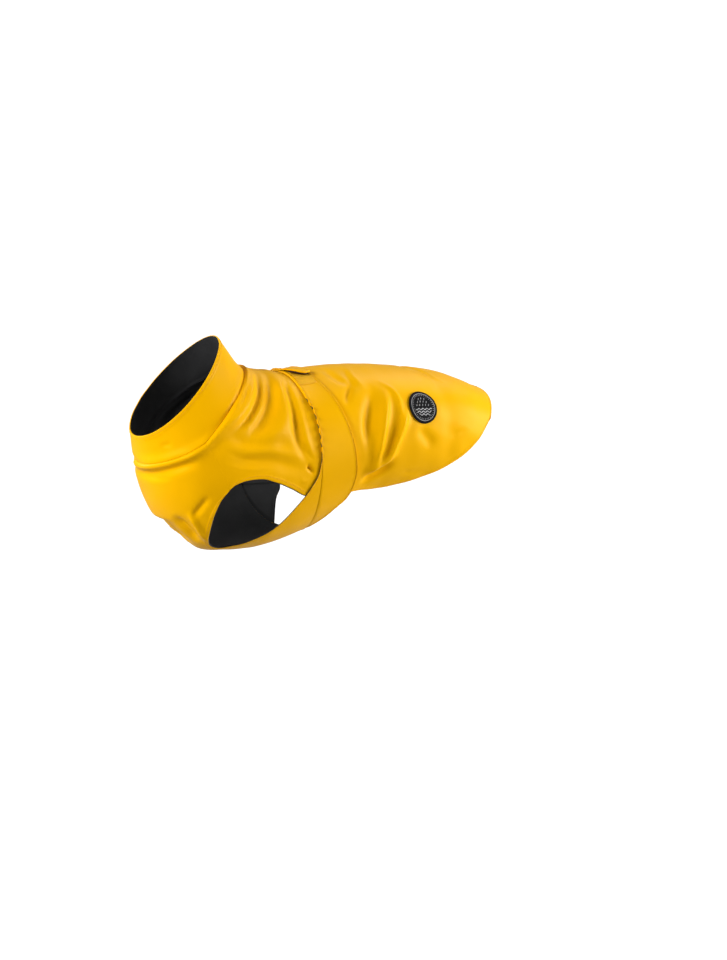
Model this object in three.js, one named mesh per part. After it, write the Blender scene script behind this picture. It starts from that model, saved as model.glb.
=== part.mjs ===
// A dog raincoat in its worn, hollow form, in millimetres.
// +X points to the rear hem, -Y to the coat's left side, +Z up.
// The origin lies on the outer face of the back's cloth, in the middle plane.
import * as THREE from 'three';

// Driving dimensions
const CLOTH = 1.6;
const LAYER_GAP = 1.4;
const SEAM_GAP = 0.3;
const TAPE = 0.9;
const BADGE_RADIUS = 23.5;
const BADGE_THICKNESS = 1.6;
const BADGE_RIM_WIDTH = 3.0;
const BADGE_RIM_RISE = 0.5;
const BADGE_GAP = 0.65;
const LIP_RISE = 3.2;
const STRAP_CALM = 0.94;
const COLLAR_PINCH = 2.4;
const COLLAR_PINCH_WIDTH = 10;

// Heights of the outer faces over the coat's form
const STRAP_LIFT = CLOTH + LAYER_GAP;
const LOOP_LIFT = STRAP_LIFT + SEAM_GAP + TAPE;
const HOOK_LIFT = LOOP_LIFT + SEAM_GAP + TAPE;
const OVERLAP_LIFT = HOOK_LIFT + SEAM_GAP + CLOTH;

// Steps of the grids
const COLLAR_STEPS = 5;
const SHOULDER_STEPS = 7;
const BACK_EDGE_STEPS = 34;
const BACK_HALF_STEPS = 17;
const ARMHOLE_STEPS = 18;
const UNDERSIDE_HALF_STEPS = 10;
const WING_SEAM_STEPS = 7;
const WING_STEPS = 20;
const TAPE_STEPS = 7;
const BADGE_SIDES = 28;

// Rings round the coat. A station counts about a millimetre of coat from the collar's top edge to the rear hem.
// top and bottom are the ring's points in the middle plane, halfWidth its reach to each side,
// widest the share of its height where it is widest, and full how square its upper and lower half are.
// Columns: station, topX, topZ, bottomX, bottomZ, halfWidth, widest, topFull, bottomFull
const RINGS = [
  [0, -152, 50, -276, -82, 63, 0.55, -0.07, 0.0],
  [60, -122, 13, -268, -118, 78, 0.55, -0.16, 0.0],
  [120, -100, 4, -259, -152, 90, 0.55, -0.18, 0.05],
  [180, -82, 1, -235, -200, 98, 0.55, -0.12, 0.07],
  [228, -68, 0, -204, -232, 103, 0.52, -0.07, 0.1],
  [276, -52, -4, -165, -246, 106, 0.5, 0.0, 0.12],
  [324, -30, -6, -90, -243, 107, 0.48, 0.04, 0.1],
  [372, 0, -1, -15, -224, 108, 0.47, 0.06, 0.07],
  [420, 50, 2, 45, -203, 110, 0.46, 0.07, 0.1],
  [480, 130, -1, 130, -193, 111, 0.46, 0.07, 0.15],
  [540, 215, -12, 215, -190, 107, 0.46, 0.07, 0.15],
  [600, 290, -38, 285, -185, 92, 0.44, 0.05, 0.15],
];

// Edges of the pieces. An angle is measured round a ring, from the spine down over the left side, in degrees.
// middle is the station in the middle plane, and bow moves a row's stations between middle and edge.
// Columns: edgeStation, edgeAngle
const SHOULDER_SEAM = [
  [86, 107],
  [133, 107],
  [173, 109],
  [193.5, 113],
];

// Columns: middleStation, bow, one row for each row of the shoulder seam
const BACK_AT_SHOULDER = [
  [84, -9],
  [118, -6],
  [150, -3],
  [168, 0],
];
const CHEST_AT_SHOULDER = [
  [61, 3],
  [105, 3],
  [140, 3],
  [160, 2],
];

// The back panel's lower edge: armhole, then hem to the rear tip. The last row is the rear hem.
// Columns: edgeStation, edgeAngle, middleStation, bow
const BACK_LOWER_EDGE = [
  [193.5, 113, 168, 0],
  [195, 109.5, 175, 0],
  [203, 105, 188, 0],
  [224, 100.3, 212, 0],
  [250, 98.5, 242, 0],
  [278, 100.5, 274, 0],
  [303, 106, 302, 0],
  [326, 114, 326, 0],
  [355, 121, 352, 0],
  [400, 131, 396, 0],
  [437, 138.2, 434, 0],
  [469, 136.5, 468, 0],
  [500, 129, 502, 0],
  [529, 115, 536, 0],
  [555, 96, 568, 0],
  [575, 75, 600, 0],
];

// The underside panel's edge: front of the armhole, strip between the forelegs, back of the armhole.
// Columns: edgeStation, edgeAngle, middleStation, bow
const UNDERSIDE_EDGE = [
  [193.5, 113, 160, 2],
  [194.5, 122, 170, 1],
  [203, 132.5, 184, 0],
  [219, 145, 204, 0],
  [235, 155, 226, 0],
  [250, 161, 247, 0],
  [266, 163, 266, 0],
  [284, 157, 284, 0],
  [298, 147, 298, 0],
  [311, 133, 310, 0],
  [319, 121, 318, 0],
  [329, 110, 326, 0],
  [336, 99, 332, 0],
  [335, 89, 337, 0],
];

// The seam between the belly and a wing runs straight on the form between these two corners.
const WING_FRONT_CORNER = [335, 89];
const WING_REAR_CORNER = [362, 162];
const BELLY_REAR_MIDDLE = 366;

// A wing from its seam to the back.
// Columns: frontStation, frontAngle, rearStation, rearAngle, bow in degrees
const WING_ROWS = [
  [335, 89, 362, 162, 0],
  [332, 83, 379, 143, 0],
  [328, 75, 392, 134, 0],
  [322, 65, 395, 117, 0],
  [314, 53, 388, 95, 0],
  [306, 46, 379, 76, 0],
  [300, 39, 365, 50, 0],
  [294, 31, 355, 33, 0],
  [287, 14, 353, 14, 0],
];
const WING_LEFT_END = [284, -6, 352, -6, 0];
const WING_RIGHT_END = [[284, 2, 353, -2, -3], [284, -5, 354, -17, -9]];

// Folds of the cloth: a curve through three places on the form, half width, and height of a ridge (+) or trough (-).
// Columns: startStation, startAngle, middleStation, middleAngle, endStation, endAngle, width, height
const FOLDS = [
  [70, 212, 72, 144, 114, 100, 9, 5.5],
  [98, 210, 88, 150, 118, 116, 7, -5],
  [70, 132, 95, 90, 97, 46, 7, 4.5],
  [106, 16, 116, 62, 88, 94, 7, 4],
  [130, 8, 143, 54, 112, 90, 7, -4],
  [150, 6, 162, 52, 130, 86, 7, 3],
  [162, 2, 190, 52, 128, 86, 10, -4.5],
  [200, 6, 240, 61, 152, 84, 14, 6],
  [100, 94, 187, 80, 306, 72, 9, -3],
  [118, 97, 216, 82, 322, 86, 7, 1.8],
  [130, 106, 238, 87, 344, 102, 10, -3.5],
  [232, 12, 272, 59, 326, 96, 7, -4.5],
  [260, 14, 290, 60, 332, 96, 6, 2.5],
  [176, 194, 214, 191, 270, 184, 30, -13],
  [170, 148, 205, 151, 246, 159, 5, 5],
  [168, 164, 201, 161, 236, 166, 8, -5.5],
  [174, 124, 179, 137, 188, 150, 5, -3],
  [410, 34, 386, 51, 366, 64, 5, -4.5],
  [392, 8, 386, 28, 404, 42, 7, -3],
  [432, 38, 405, 82, 388, 118, 10, -7],
  [446, 42, 425, 86, 419, 126, 7, 6],
  [434, 36, 451, 62, 440, 92, 5, 3],
  [460, 68, 446, 91, 424, 122, 7, 6.5],
  [452, 98, 424, 113, 386, 115, 7, 4],
  [444, 112, 422, 122, 386, 124, 6, -3.5],
  [470, 84, 481, 95, 494, 104, 9, -2.5],
  [130, 246, 92, 224, 86, 196, 8, -4.5],
  [108, 318, 112, 290, 98, 262, 9, 4],
  [120, 330, 124, 300, 118, 272, 8, -4],
  [220, 340, 240, 312, 190, 286, 11, 5],
  [254, 326, 280, 300, 318, 276, 9, -5.5],
  [278, 312, 300, 294, 316, 272, 8, 4],
  [184, 196, 200, 210, 238, 206, 7, -3.5],
  [410, 322, 396, 304, 382, 292, 8, -4],
  [438, 306, 412, 286, 396, 262, 11, -6],
  [452, 300, 428, 278, 424, 252, 9, 5.5],
  [462, 296, 446, 262, 402, 242, 11, -6.5],
  [486, 290, 492, 272, 482, 250, 12, -3],
  [520, 30, 510, 8, 522, 344, 14, -2.5],
];

// First and last angle of each tape, the margin to the wing's edges, and the badge's station and angle
const TAPE_ANGLES = [-2, 31];
const HOOK_ANGLES = [-2, 9];
const TAPE_MARGIN = 6;
const BADGE_CENTRE = [479, 69];

const YELLOW = new THREE.MeshStandardMaterial({ color: 0xf7b500, roughness: 0.42, metalness: 0 });
const PALE_TAPE = new THREE.MeshStandardMaterial({ color: 0xe3c878, roughness: 0.9, metalness: 0 });
const BLACK_RUBBER = new THREE.MeshStandardMaterial({ color: 0x17191c, roughness: 0.6, metalness: 0 });

// Smooth curve through the rows of a table: cubic pieces whose slopes are weighted means of the chords beside a row.
function smoothTable(knots, rows) {
  const last = rows.length - 1;
  const chord = (i, column) => (rows[i + 1][column] - rows[i][column]) / (knots[i + 1] - knots[i]);
  const slope = (i, column) => {
    if (i === 0) return chord(0, column);
    if (i === last) return chord(last - 1, column);
    const before = knots[i] - knots[i - 1];
    const after = knots[i + 1] - knots[i];
    return (chord(i - 1, column) * after + chord(i, column) * before) / (before + after);
  };
  return (key) => {
    let i = 0;
    while (i < last - 1 && key > knots[i + 1]) i += 1;
    const width = knots[i + 1] - knots[i];
    const t = (key - knots[i]) / width;
    return rows[i].map((value, column) => {
      const curve = (1 + 2 * t) * (1 - t) ** 2 * value + t * t * (3 - 2 * t) * rows[i + 1][column];
      return curve + width * (t * (1 - t) ** 2 * slope(i, column) + t * t * (t - 1) * slope(i + 1, column));
    });
  };
}

const ringAt = smoothTable(RINGS.map((row) => row[0]), RINGS);

// Point of the smooth form, without folds or cloth
function formPoint(station, angle) {
  const [, topX, topZ, bottomX, bottomZ, halfWidth, widest, topFull, bottomFull] = ringAt(station);
  const cosine = Math.cos(THREE.MathUtils.degToRad(angle));
  const sine = Math.sin(THREE.MathUtils.degToRad(angle));
  const full = (topFull * (1 + cosine) + bottomFull * (1 - cosine)) / 2;
  const down = (1 - cosine) / 2 + (widest - 0.5) * sine * sine;
  const y = -halfWidth * sine * (1 + full * cosine * cosine);
  return new THREE.Vector3(topX + (bottomX - topX) * down, y, topZ + (bottomZ - topZ) * down);
}

function formNormal(station, angle) {
  const along = formPoint(station + 0.5, angle).sub(formPoint(station - 0.5, angle));
  const around = formPoint(station, angle + 0.5).sub(formPoint(station, angle - 0.5));
  return around.cross(along).normalize();
}

function smoothStep(from, to, value) {
  return THREE.MathUtils.smoothstep((value - from) / (to - from), 0, 1);
}

// Angle from the spine, alike on both sides
function turnedAngle(angle) {
  return Math.abs(THREE.MathUtils.euclideanModulo(angle + 180, 360) - 180);
}

// The collar's seam: its station at each angle, the first rows of the back panel and of the underside panel
function rowStation(edge, middle, bow, share) {
  return middle + (edge - middle) * share ** 2 + bow * 6.75 * share ** 2 * (1 - share);
}

function collarSeam(angle) {
  const turned = turnedAngle(angle);
  const [edgeStation, edgeAngle] = SHOULDER_SEAM[0];
  if (turned <= edgeAngle) return rowStation(edgeStation, ...BACK_AT_SHOULDER[0], turned / edgeAngle);
  return rowStation(edgeStation, ...CHEST_AT_SHOULDER[0], (180 - turned) / (180 - edgeAngle));
}

// Each fold as short chords on the form
const FOLD_CHORDS = 8;
const FOLD_CURVES = FOLDS.map((fold) => {
  const [startStation, startAngle, middleStation, middleAngle, endStation, endAngle, width, height] = fold;
  const through = (start, middle, end, t) =>
    2 * start * (t - 0.5) * (t - 1) + 4 * middle * t * (1 - t) + 2 * end * t * (t - 0.5);
  const points = [];
  for (let i = 0; i <= FOLD_CHORDS; i += 1) {
    const t = i / FOLD_CHORDS;
    const station = through(startStation, middleStation, endStation, t);
    points.push(formPoint(station, through(startAngle, middleAngle, endAngle, t)));
  }
  return { points, width, height };
});

// Height that the folds add at a point of the form. Each fold fades to nothing at its ends and sides.
function foldHeight(point) {
  let sum = 0;
  const nearest = new THREE.Vector3();
  for (const { points, width, height } of FOLD_CURVES) {
    let best = Infinity;
    let place = 0;
    for (let i = 0; i < FOLD_CHORDS; i += 1) {
      const chord = new THREE.Line3(points[i], points[i + 1]);
      const t = chord.closestPointToPointParameter(point, true);
      const distance = chord.at(t, nearest).distanceTo(point);
      if (distance < best) {
        best = distance;
        place = (i + t) / FOLD_CHORDS;
      }
    }
    const fade = smoothStep(0, 0.35, place) * smoothStep(1, 0.65, place);
    sum += height * fade * Math.exp(-((best / width) ** 2));
  }
  return sum;
}

// Stations of the strap's front and rear edge at an angle. The strap pulls the cloth under it flat.
function strapFront(angle) {
  return 284 + 50 * smoothStep(0, 90, turnedAngle(angle));
}

function strapRear(angle) {
  return 353 + 42 * smoothStep(20, 110, turnedAngle(angle));
}

function calm(station, angle) {
  const behindFront = smoothStep(strapFront(angle) - 14, strapFront(angle), station);
  const beforeRear = smoothStep(strapRear(angle) + 24, strapRear(angle) + 7, station);
  return 1 - STRAP_CALM * behindFront * beforeRear;
}

function pinch(station, angle) {
  return -COLLAR_PINCH * Math.exp(-(((station - collarSeam(angle)) / COLLAR_PINCH_WIDTH) ** 2));
}

// Point of the cloth at a height over the form, folds included
function clothPoint(station, angle, height) {
  const point = formPoint(station, angle);
  const folds = foldHeight(point) * calm(station, angle) + pinch(station, angle);
  return point.addScaledVector(formNormal(station, angle), folds + height);
}

// Rows of a table laid out evenly by the length of their edge
function spreadRows(rows, steps) {
  const knots = [0];
  for (let i = 1; i < rows.length; i += 1) {
    const step = formPoint(rows[i][0], rows[i][1]).distanceTo(formPoint(rows[i - 1][0], rows[i - 1][1]));
    knots.push(knots[i - 1] + step);
  }
  const at = smoothTable(knots, rows);
  return Array.from({ length: steps + 1 }, (_, i) => at((knots[knots.length - 1] * i) / steps));
}

// A panel that is alike on both sides of the middle plane: places from its left edge over the middle to the right one
function panelPlaces(rows, middleAngle, halfSteps) {
  return rows.map(([edgeStation, edgeAngle, middle, bow]) => {
    const places = [];
    for (let j = -halfSteps; j <= halfSteps; j += 1) {
      const share = j / halfSteps;
      const angle = middleAngle + (edgeAngle - middleAngle) * -share;
      places.push([rowStation(edgeStation, middle, bow, Math.abs(share)), angle]);
    }
    return places;
  });
}

// Closed wall of cloth over a grid of places. top and base give the heights of its outer and inner face.
function wallGeometry(places, top, base, closedRound = false) {
  const rows = places.length;
  const columns = places[0].length;
  const layer = (height) => places.map((row) => row.map(([s, a]) => clothPoint(s, a, height(s, a))));
  const layers = [layer(top), layer(base)];
  const positions = layers.flatMap((grid) => insetEdges(grid, closedRound)).flat().flatMap((p) => p.toArray());
  const at = (side, i, j) => side * rows * columns + i * columns + (j % columns);
  const index = [];
  const quad = (a, b, c, d) => index.push(a, b, c, a, c, d);
  const spans = closedRound ? columns : columns - 1;
  for (let i = 0; i < rows - 1; i += 1) {
    for (let j = 0; j < spans; j += 1) {
      quad(at(0, i, j), at(0, i, j + 1), at(0, i + 1, j + 1), at(0, i + 1, j));
      quad(at(1, i, j), at(1, i + 1, j), at(1, i + 1, j + 1), at(1, i, j + 1));
    }
  }
  for (let j = 0; j < spans; j += 1) {
    quad(at(0, 0, j), at(1, 0, j), at(1, 0, j + 1), at(0, 0, j + 1));
    quad(at(0, rows - 1, j + 1), at(1, rows - 1, j + 1), at(1, rows - 1, j), at(0, rows - 1, j));
  }
  for (let i = 0; i < rows - 1 && !closedRound; i += 1) {
    quad(at(0, i + 1, 0), at(1, i + 1, 0), at(1, i, 0), at(0, i, 0));
    quad(at(0, i, spans), at(1, i, spans), at(1, i + 1, spans), at(0, i + 1, spans));
  }
  const geometry = new THREE.BufferGeometry();
  geometry.setAttribute('position', new THREE.Float32BufferAttribute(positions, 3));
  geometry.setIndex(signedVolume(positions, index) < 0 ? index.reverse() : index);
  geometry.computeVertexNormals();
  return geometry;
}

// Draws every edge of a grid back by half the seam gap
function insetEdges(grid, closedRound) {
  const pull = (point, inner) => point.clone().add(inner.clone().sub(point).setLength(SEAM_GAP / 2));
  const last = grid.length - 1;
  const end = grid[0].length - 1;
  const inset = grid.map((row) => row.map((point) => point.clone()));
  for (let i = 0; i <= last && !closedRound; i += 1) {
    inset[i][0] = pull(grid[i][0], grid[i][1]);
    inset[i][end] = pull(grid[i][end], grid[i][end - 1]);
  }
  for (let j = 0; j <= end; j += 1) {
    inset[0][j] = pull(inset[0][j], grid[1][j]);
    inset[last][j] = pull(inset[last][j], grid[last - 1][j]);
  }
  return inset;
}

function signedVolume(positions, index) {
  const corner = (k) => new THREE.Vector3().fromArray(positions, 3 * index[k]);
  let sum = 0;
  for (let k = 0; k < index.length; k += 3) {
    sum += corner(k).dot(corner(k + 1).cross(corner(k + 2)));
  }
  return sum / 6;
}

function onForm() {
  return 0;
}

function innerFace(top) {
  return (station, angle) => top(station, angle) - CLOTH;
}

function joinTables(edges, middles) {
  return edges.map((row, i) => [...row, ...middles[i]]);
}

function backPlaces() {
  const shoulder = spreadRows(joinTables(SHOULDER_SEAM, BACK_AT_SHOULDER), SHOULDER_STEPS);
  const lower = spreadRows(BACK_LOWER_EDGE, BACK_EDGE_STEPS);
  return panelPlaces([...shoulder, ...lower.slice(1)], 0, BACK_HALF_STEPS);
}

function wingSeam(share) {
  const [frontStation, frontAngle] = WING_FRONT_CORNER;
  const [rearStation, rearAngle] = WING_REAR_CORNER;
  return [frontStation + (rearStation - frontStation) * share, frontAngle + (rearAngle - frontAngle) * share];
}

function undersidePlaces() {
  const shoulder = spreadRows(joinTables(SHOULDER_SEAM, CHEST_AT_SHOULDER), SHOULDER_STEPS);
  const armhole = spreadRows(UNDERSIDE_EDGE, ARMHOLE_STEPS);
  const frontMiddle = UNDERSIDE_EDGE[UNDERSIDE_EDGE.length - 1][2];
  const seam = [];
  for (let i = 1; i <= WING_SEAM_STEPS; i += 1) {
    const share = i / WING_SEAM_STEPS;
    const middle = frontMiddle + (BELLY_REAR_MIDDLE - frontMiddle) * share;
    seam.push([...wingSeam(share), middle, 0]);
  }
  return panelPlaces([...shoulder, ...armhole.slice(1), ...seam], 180, UNDERSIDE_HALF_STEPS);
}

// The underside panel lies on the form at the chest and rises onto the back panel's lower edge at the belly.
const BELLY_RISE_STATIONS = [282, 314];
function undersideTop(station) {
  return STRAP_LIFT * smoothStep(...BELLY_RISE_STATIONS, station);
}

function collarPlaces() {
  const backAngles = backPlaces()[0].map(([, angle]) => angle);
  const chestAngles = undersidePlaces()[0].map(([, angle]) => angle);
  const angles = [...backAngles, ...chestAngles.slice(1, -1).reverse()];
  const places = [];
  for (let i = 0; i <= COLLAR_STEPS; i += 1) {
    places.push(angles.map((angle) => [(collarSeam(angle) * i) / COLLAR_STEPS, angle]));
  }
  return places;
}

// side is 1 for the left wing and -1 for the right one
function wingPlaces(rows, side) {
  const spread = spreadRows(rows, WING_STEPS);
  return spread.map(([frontStation, frontAngle, rearStation, rearAngle, bow]) => {
    const places = [];
    for (let j = 0; j <= WING_SEAM_STEPS; j += 1) {
      const share = j / WING_SEAM_STEPS;
      const angle = frontAngle + (rearAngle - frontAngle) * share + bow * 4 * share * (1 - share);
      places.push([frontStation + (rearStation - frontStation) * share, side * angle]);
    }
    return places;
  });
}

// The right wing climbs over the left wing's end and its tapes, and its lip stands up a little in the middle.
const CLIMB_ANGLES = [-22, -8];
const LIP_ANGLES = [0, 16];
const LIP_STATIONS = [284, 354];
function rightWingTop(station, angle) {
  const climb = (OVERLAP_LIFT - STRAP_LIFT) * smoothStep(...CLIMB_ANGLES, angle);
  const across = THREE.MathUtils.clamp((station - LIP_STATIONS[0]) / (LIP_STATIONS[1] - LIP_STATIONS[0]), 0, 1);
  const lip = LIP_RISE * smoothStep(...LIP_ANGLES, angle) * Math.sin(Math.PI * across);
  return STRAP_LIFT + climb + lip;
}

// A fastener tape between two angles, inside the edges of the wing it is sewn to
function tapePlaces([fromAngle, toAngle]) {
  const [frontEdge, rearEdge] = [WING_ROWS[7][0], WING_ROWS[8][2]];
  const places = [];
  for (let i = 0; i <= TAPE_STEPS; i += 1) {
    const angle = fromAngle + ((toAngle - fromAngle) * i) / TAPE_STEPS;
    const row = [];
    for (let j = 0; j <= TAPE_STEPS; j += 1) {
      const share = j / TAPE_STEPS;
      row.push([frontEdge + TAPE_MARGIN + (rearEdge - frontEdge - 2 * TAPE_MARGIN) * share, angle]);
    }
    places.push(row);
  }
  return places;
}

// The round badge: a turned profile laid on the back panel, so that it follows the panel's curve
function badgeGeometry() {
  const [station, angle] = BADGE_CENTRE;
  const stationsPerMm = 2 / formPoint(station + 1, angle).distanceTo(formPoint(station - 1, angle));
  const degreesPerMm = 2 / formPoint(station, angle + 1).distanceTo(formPoint(station, angle - 1));
  const rimInside = BADGE_RADIUS - BADGE_RIM_WIDTH;
  const profile = [
    [0, 0],
    [rimInside * 0.5, 0],
    [rimInside, 0],
    [BADGE_RADIUS, 0],
    [BADGE_RADIUS, BADGE_THICKNESS],
    [BADGE_RADIUS - 0.6, BADGE_THICKNESS + BADGE_RIM_RISE],
    [rimInside + 0.6, BADGE_THICKNESS + BADGE_RIM_RISE],
    [rimInside, BADGE_THICKNESS],
    [rimInside * 0.5, BADGE_THICKNESS],
    [0, BADGE_THICKNESS],
  ].map(([radius, height]) => new THREE.Vector2(radius, height));
  const geometry = new THREE.LatheGeometry(profile, BADGE_SIDES);
  const position = geometry.attributes.position;
  for (let i = 0; i < position.count; i += 1) {
    const places = [station + position.getX(i) * stationsPerMm, angle + position.getZ(i) * degreesPerMm];
    const point = clothPoint(...places, BADGE_GAP + position.getY(i));
    position.setXYZ(i, ...point.toArray());
  }
  geometry.computeVertexNormals();
  return geometry;
}

const coat = new THREE.Group();
function addPiece(name, geometry, material) {
  const mesh = new THREE.Mesh(geometry, material);
  mesh.name = name;
  coat.add(mesh);
}

addPiece('collar', wallGeometry(collarPlaces(), onForm, innerFace(onForm), true), YELLOW);
addPiece('back_panel', wallGeometry(backPlaces(), onForm, innerFace(onForm)), YELLOW);
addPiece('underside_panel', wallGeometry(undersidePlaces(), undersideTop, innerFace(undersideTop)), YELLOW);

const leftTop = () => STRAP_LIFT;
const leftPlaces = wingPlaces([...WING_ROWS, WING_LEFT_END], 1);
addPiece('wing_left', wallGeometry(leftPlaces, leftTop, innerFace(leftTop)), YELLOW);
const rightPlaces = wingPlaces([...WING_ROWS, ...WING_RIGHT_END], -1);
addPiece('wing_right', wallGeometry(rightPlaces, rightWingTop, innerFace(rightWingTop)), YELLOW);

const tape = (angles, top) => wallGeometry(tapePlaces(angles), () => top, () => top - TAPE);
addPiece('fastener_loop', tape(TAPE_ANGLES, LOOP_LIFT), PALE_TAPE);
addPiece('fastener_hook', tape(HOOK_ANGLES, HOOK_LIFT), PALE_TAPE);
addPiece('badge', badgeGeometry(), BLACK_RUBBER);

export default coat;
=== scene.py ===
# %% [markdown]
# A dog raincoat in its worn form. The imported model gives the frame: its nodes, its one body and its box.
# Everything below is in that frame. The coat's own sums are done in millimetres, and MM turns them into
# metres when a mesh is made, because cloth is thought of in millimetres and Blender measures in metres.

# %% Frame
import bpy
import numpy as np
from mathutils import Matrix, Vector


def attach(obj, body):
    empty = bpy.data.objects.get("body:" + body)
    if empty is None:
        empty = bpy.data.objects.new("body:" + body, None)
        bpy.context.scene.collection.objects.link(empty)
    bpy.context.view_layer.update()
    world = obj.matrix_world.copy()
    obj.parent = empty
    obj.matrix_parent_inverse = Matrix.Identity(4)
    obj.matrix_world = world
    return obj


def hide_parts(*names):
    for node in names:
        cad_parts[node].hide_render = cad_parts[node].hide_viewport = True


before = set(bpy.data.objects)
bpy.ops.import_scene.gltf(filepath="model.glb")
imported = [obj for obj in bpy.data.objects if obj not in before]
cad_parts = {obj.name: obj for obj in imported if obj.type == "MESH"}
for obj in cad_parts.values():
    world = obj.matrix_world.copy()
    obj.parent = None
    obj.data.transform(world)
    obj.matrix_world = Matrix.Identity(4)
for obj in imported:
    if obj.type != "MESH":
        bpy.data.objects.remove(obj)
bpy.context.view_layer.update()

MM = 0.001

# %% [markdown]
# The camera has the viewing angle of the photograph: 36 degrees round from the coat's left side towards its
# front, a little above it, and far enough away that near and far parts look almost the same size. Its place
# follows from the picture: the pixel where the frame's origin has to fall, and the millimetres that one
# pixel shows there.

# %% Camera
VIEW_AZIMUTH = np.radians(-36.0)
VIEW_ELEVATION = np.radians(6.5)
CAMERA_DISTANCE = 3.6
METRES_PER_PIXEL = 0.00141
PICTURE_SIZE = (727, 960)
ORIGIN_PIXEL = (305.0, 367.0)
SENSOR = 36.0

view_back = np.array([
    np.sin(VIEW_AZIMUTH) * np.cos(VIEW_ELEVATION),
    -np.cos(VIEW_AZIMUTH) * np.cos(VIEW_ELEVATION),
    np.sin(VIEW_ELEVATION),
])
view_right = np.array([np.cos(VIEW_AZIMUTH), np.sin(VIEW_AZIMUTH), 0.0])
view_up = np.cross(view_back, view_right)
pixels_right = ORIGIN_PIXEL[0] - PICTURE_SIZE[0] / 2
pixels_down = ORIGIN_PIXEL[1] - PICTURE_SIZE[1] / 2
camera_place = (
    view_back * CAMERA_DISTANCE
    - view_right * pixels_right * METRES_PER_PIXEL
    + view_up * pixels_down * METRES_PER_PIXEL
)

camera_data = bpy.data.cameras.new("photo_camera")
camera_data.lens = SENSOR * CAMERA_DISTANCE / METRES_PER_PIXEL / PICTURE_SIZE[1]
camera_data.sensor_width = SENSOR
camera = bpy.data.objects.new("photo_camera", camera_data)
bpy.context.scene.collection.objects.link(camera)
turn = Matrix((view_right, view_up, view_back)).transposed()
camera.matrix_world = Matrix.Translation(Vector(camera_place)) @ turn.to_4x4()
bpy.context.scene.camera = camera
print("lens", round(camera_data.lens, 1), "mm, camera at", camera_place.round(3))

# %% [markdown]
# The studio is a pale floor that rises into a wall behind the coat. It and the world are white where they
# are seen directly and dim where they only light the coat, because coated cloth shows its folds by where it
# faces the lamps. One soft lamp stands ahead of the chest and one behind the rear hem, so that both rake
# over the side that faces the camera and the middle of that side stays the darkest. A third lights the back
# from behind and above, and a fourth the side that the camera doesn't see.

# %% Floor and light
FLOOR_HEIGHT = -0.60
SWEEP_FRONT = 2.6
SWEEP_BACK = 2.2
SWEEP_RADIUS = 1.0
SWEEP_TOP = 3.0
SWEEP_WIDTH = 4.5
SWEEP_SHADE = 0.25
SEEN_LIGHT = 1.0
CAST_LIGHT = 0.13
LAMP_AIM = (0, 0, -0.1)
LAMPS = {
    # name: place, size, watts
    "left_window": ((-2.2, -0.35, 0.8), 0.8, 55.0),
    "right_window": ((1.6, -1.0, 0.22), 1.0, 46.0),
    "back_window": ((-1.5, 1.9, 0.8), 1.2, 34.0),
    "top_window": ((1.4, 0.4, 1.6), 1.2, 13.0),
}


def seen_or_cast(tree, socket):
    """The strength of a glow: SEEN_LIGHT where it is looked at, CAST_LIGHT where it lights something."""
    path = tree.nodes.new("ShaderNodeLightPath")
    seen = tree.nodes.new("ShaderNodeMath")
    seen.operation = "MULTIPLY_ADD"
    seen.inputs[1].default_value = SEEN_LIGHT - CAST_LIGHT
    seen.inputs[2].default_value = CAST_LIGHT
    tree.links.new(path.outputs["Is Camera Ray"], seen.inputs[0])
    tree.links.new(seen.outputs[0], socket)


def add_sweep():
    """Profile across the view: the floor from in front to behind, a quarter circle, then the wall."""
    turns = np.linspace(0, np.pi / 2, 13)
    wall = SWEEP_BACK + SWEEP_RADIUS
    back = np.concatenate([[-SWEEP_FRONT], SWEEP_BACK + SWEEP_RADIUS * np.sin(turns), [wall]])
    up = np.concatenate([[0], SWEEP_RADIUS * (1 - np.cos(turns)), [SWEEP_TOP]]) + FLOOR_HEIGHT
    ahead = -np.array([view_back[0], view_back[1], 0]) / np.hypot(view_back[0], view_back[1])
    middle = back[:, None] * ahead + up[:, None] * np.array([0, 0, 1.0])
    points = np.concatenate([middle - view_right * SWEEP_WIDTH, middle + view_right * SWEEP_WIDTH])
    count = len(back)
    faces = [(i, i + 1, i + 1 + count, i + count) for i in range(count - 1)]
    mesh = bpy.data.meshes.new("sweep")
    mesh.from_pydata([tuple(point) for point in points], [], faces)
    mesh.shade_smooth()
    sweep = bpy.data.objects.new("sweep", mesh)
    bpy.context.scene.collection.objects.link(sweep)
    paint = bpy.data.materials.new("white_sweep")
    paint.use_nodes = True
    shader = paint.node_tree.nodes["Principled BSDF"]
    shader.inputs["Base Color"].default_value = (SWEEP_SHADE, SWEEP_SHADE, SWEEP_SHADE, 1)
    shader.inputs["Roughness"].default_value = 0.9
    shader.inputs["Emission Color"].default_value = (1, 1, 1, 1)
    seen_or_cast(paint.node_tree, shader.inputs["Emission Strength"])
    mesh.materials.append(paint)


def add_lamp(name, place, size, watts):
    data = bpy.data.lights.new(name, "AREA")
    data.energy = watts
    data.size = size
    lamp = bpy.data.objects.new(name, data)
    lamp.visible_camera = False
    bpy.context.scene.collection.objects.link(lamp)
    aim = Vector(LAMP_AIM) - Vector(place)
    lamp.matrix_world = Matrix.Translation(place) @ aim.to_track_quat("-Z", "Y").to_matrix().to_4x4()


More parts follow.
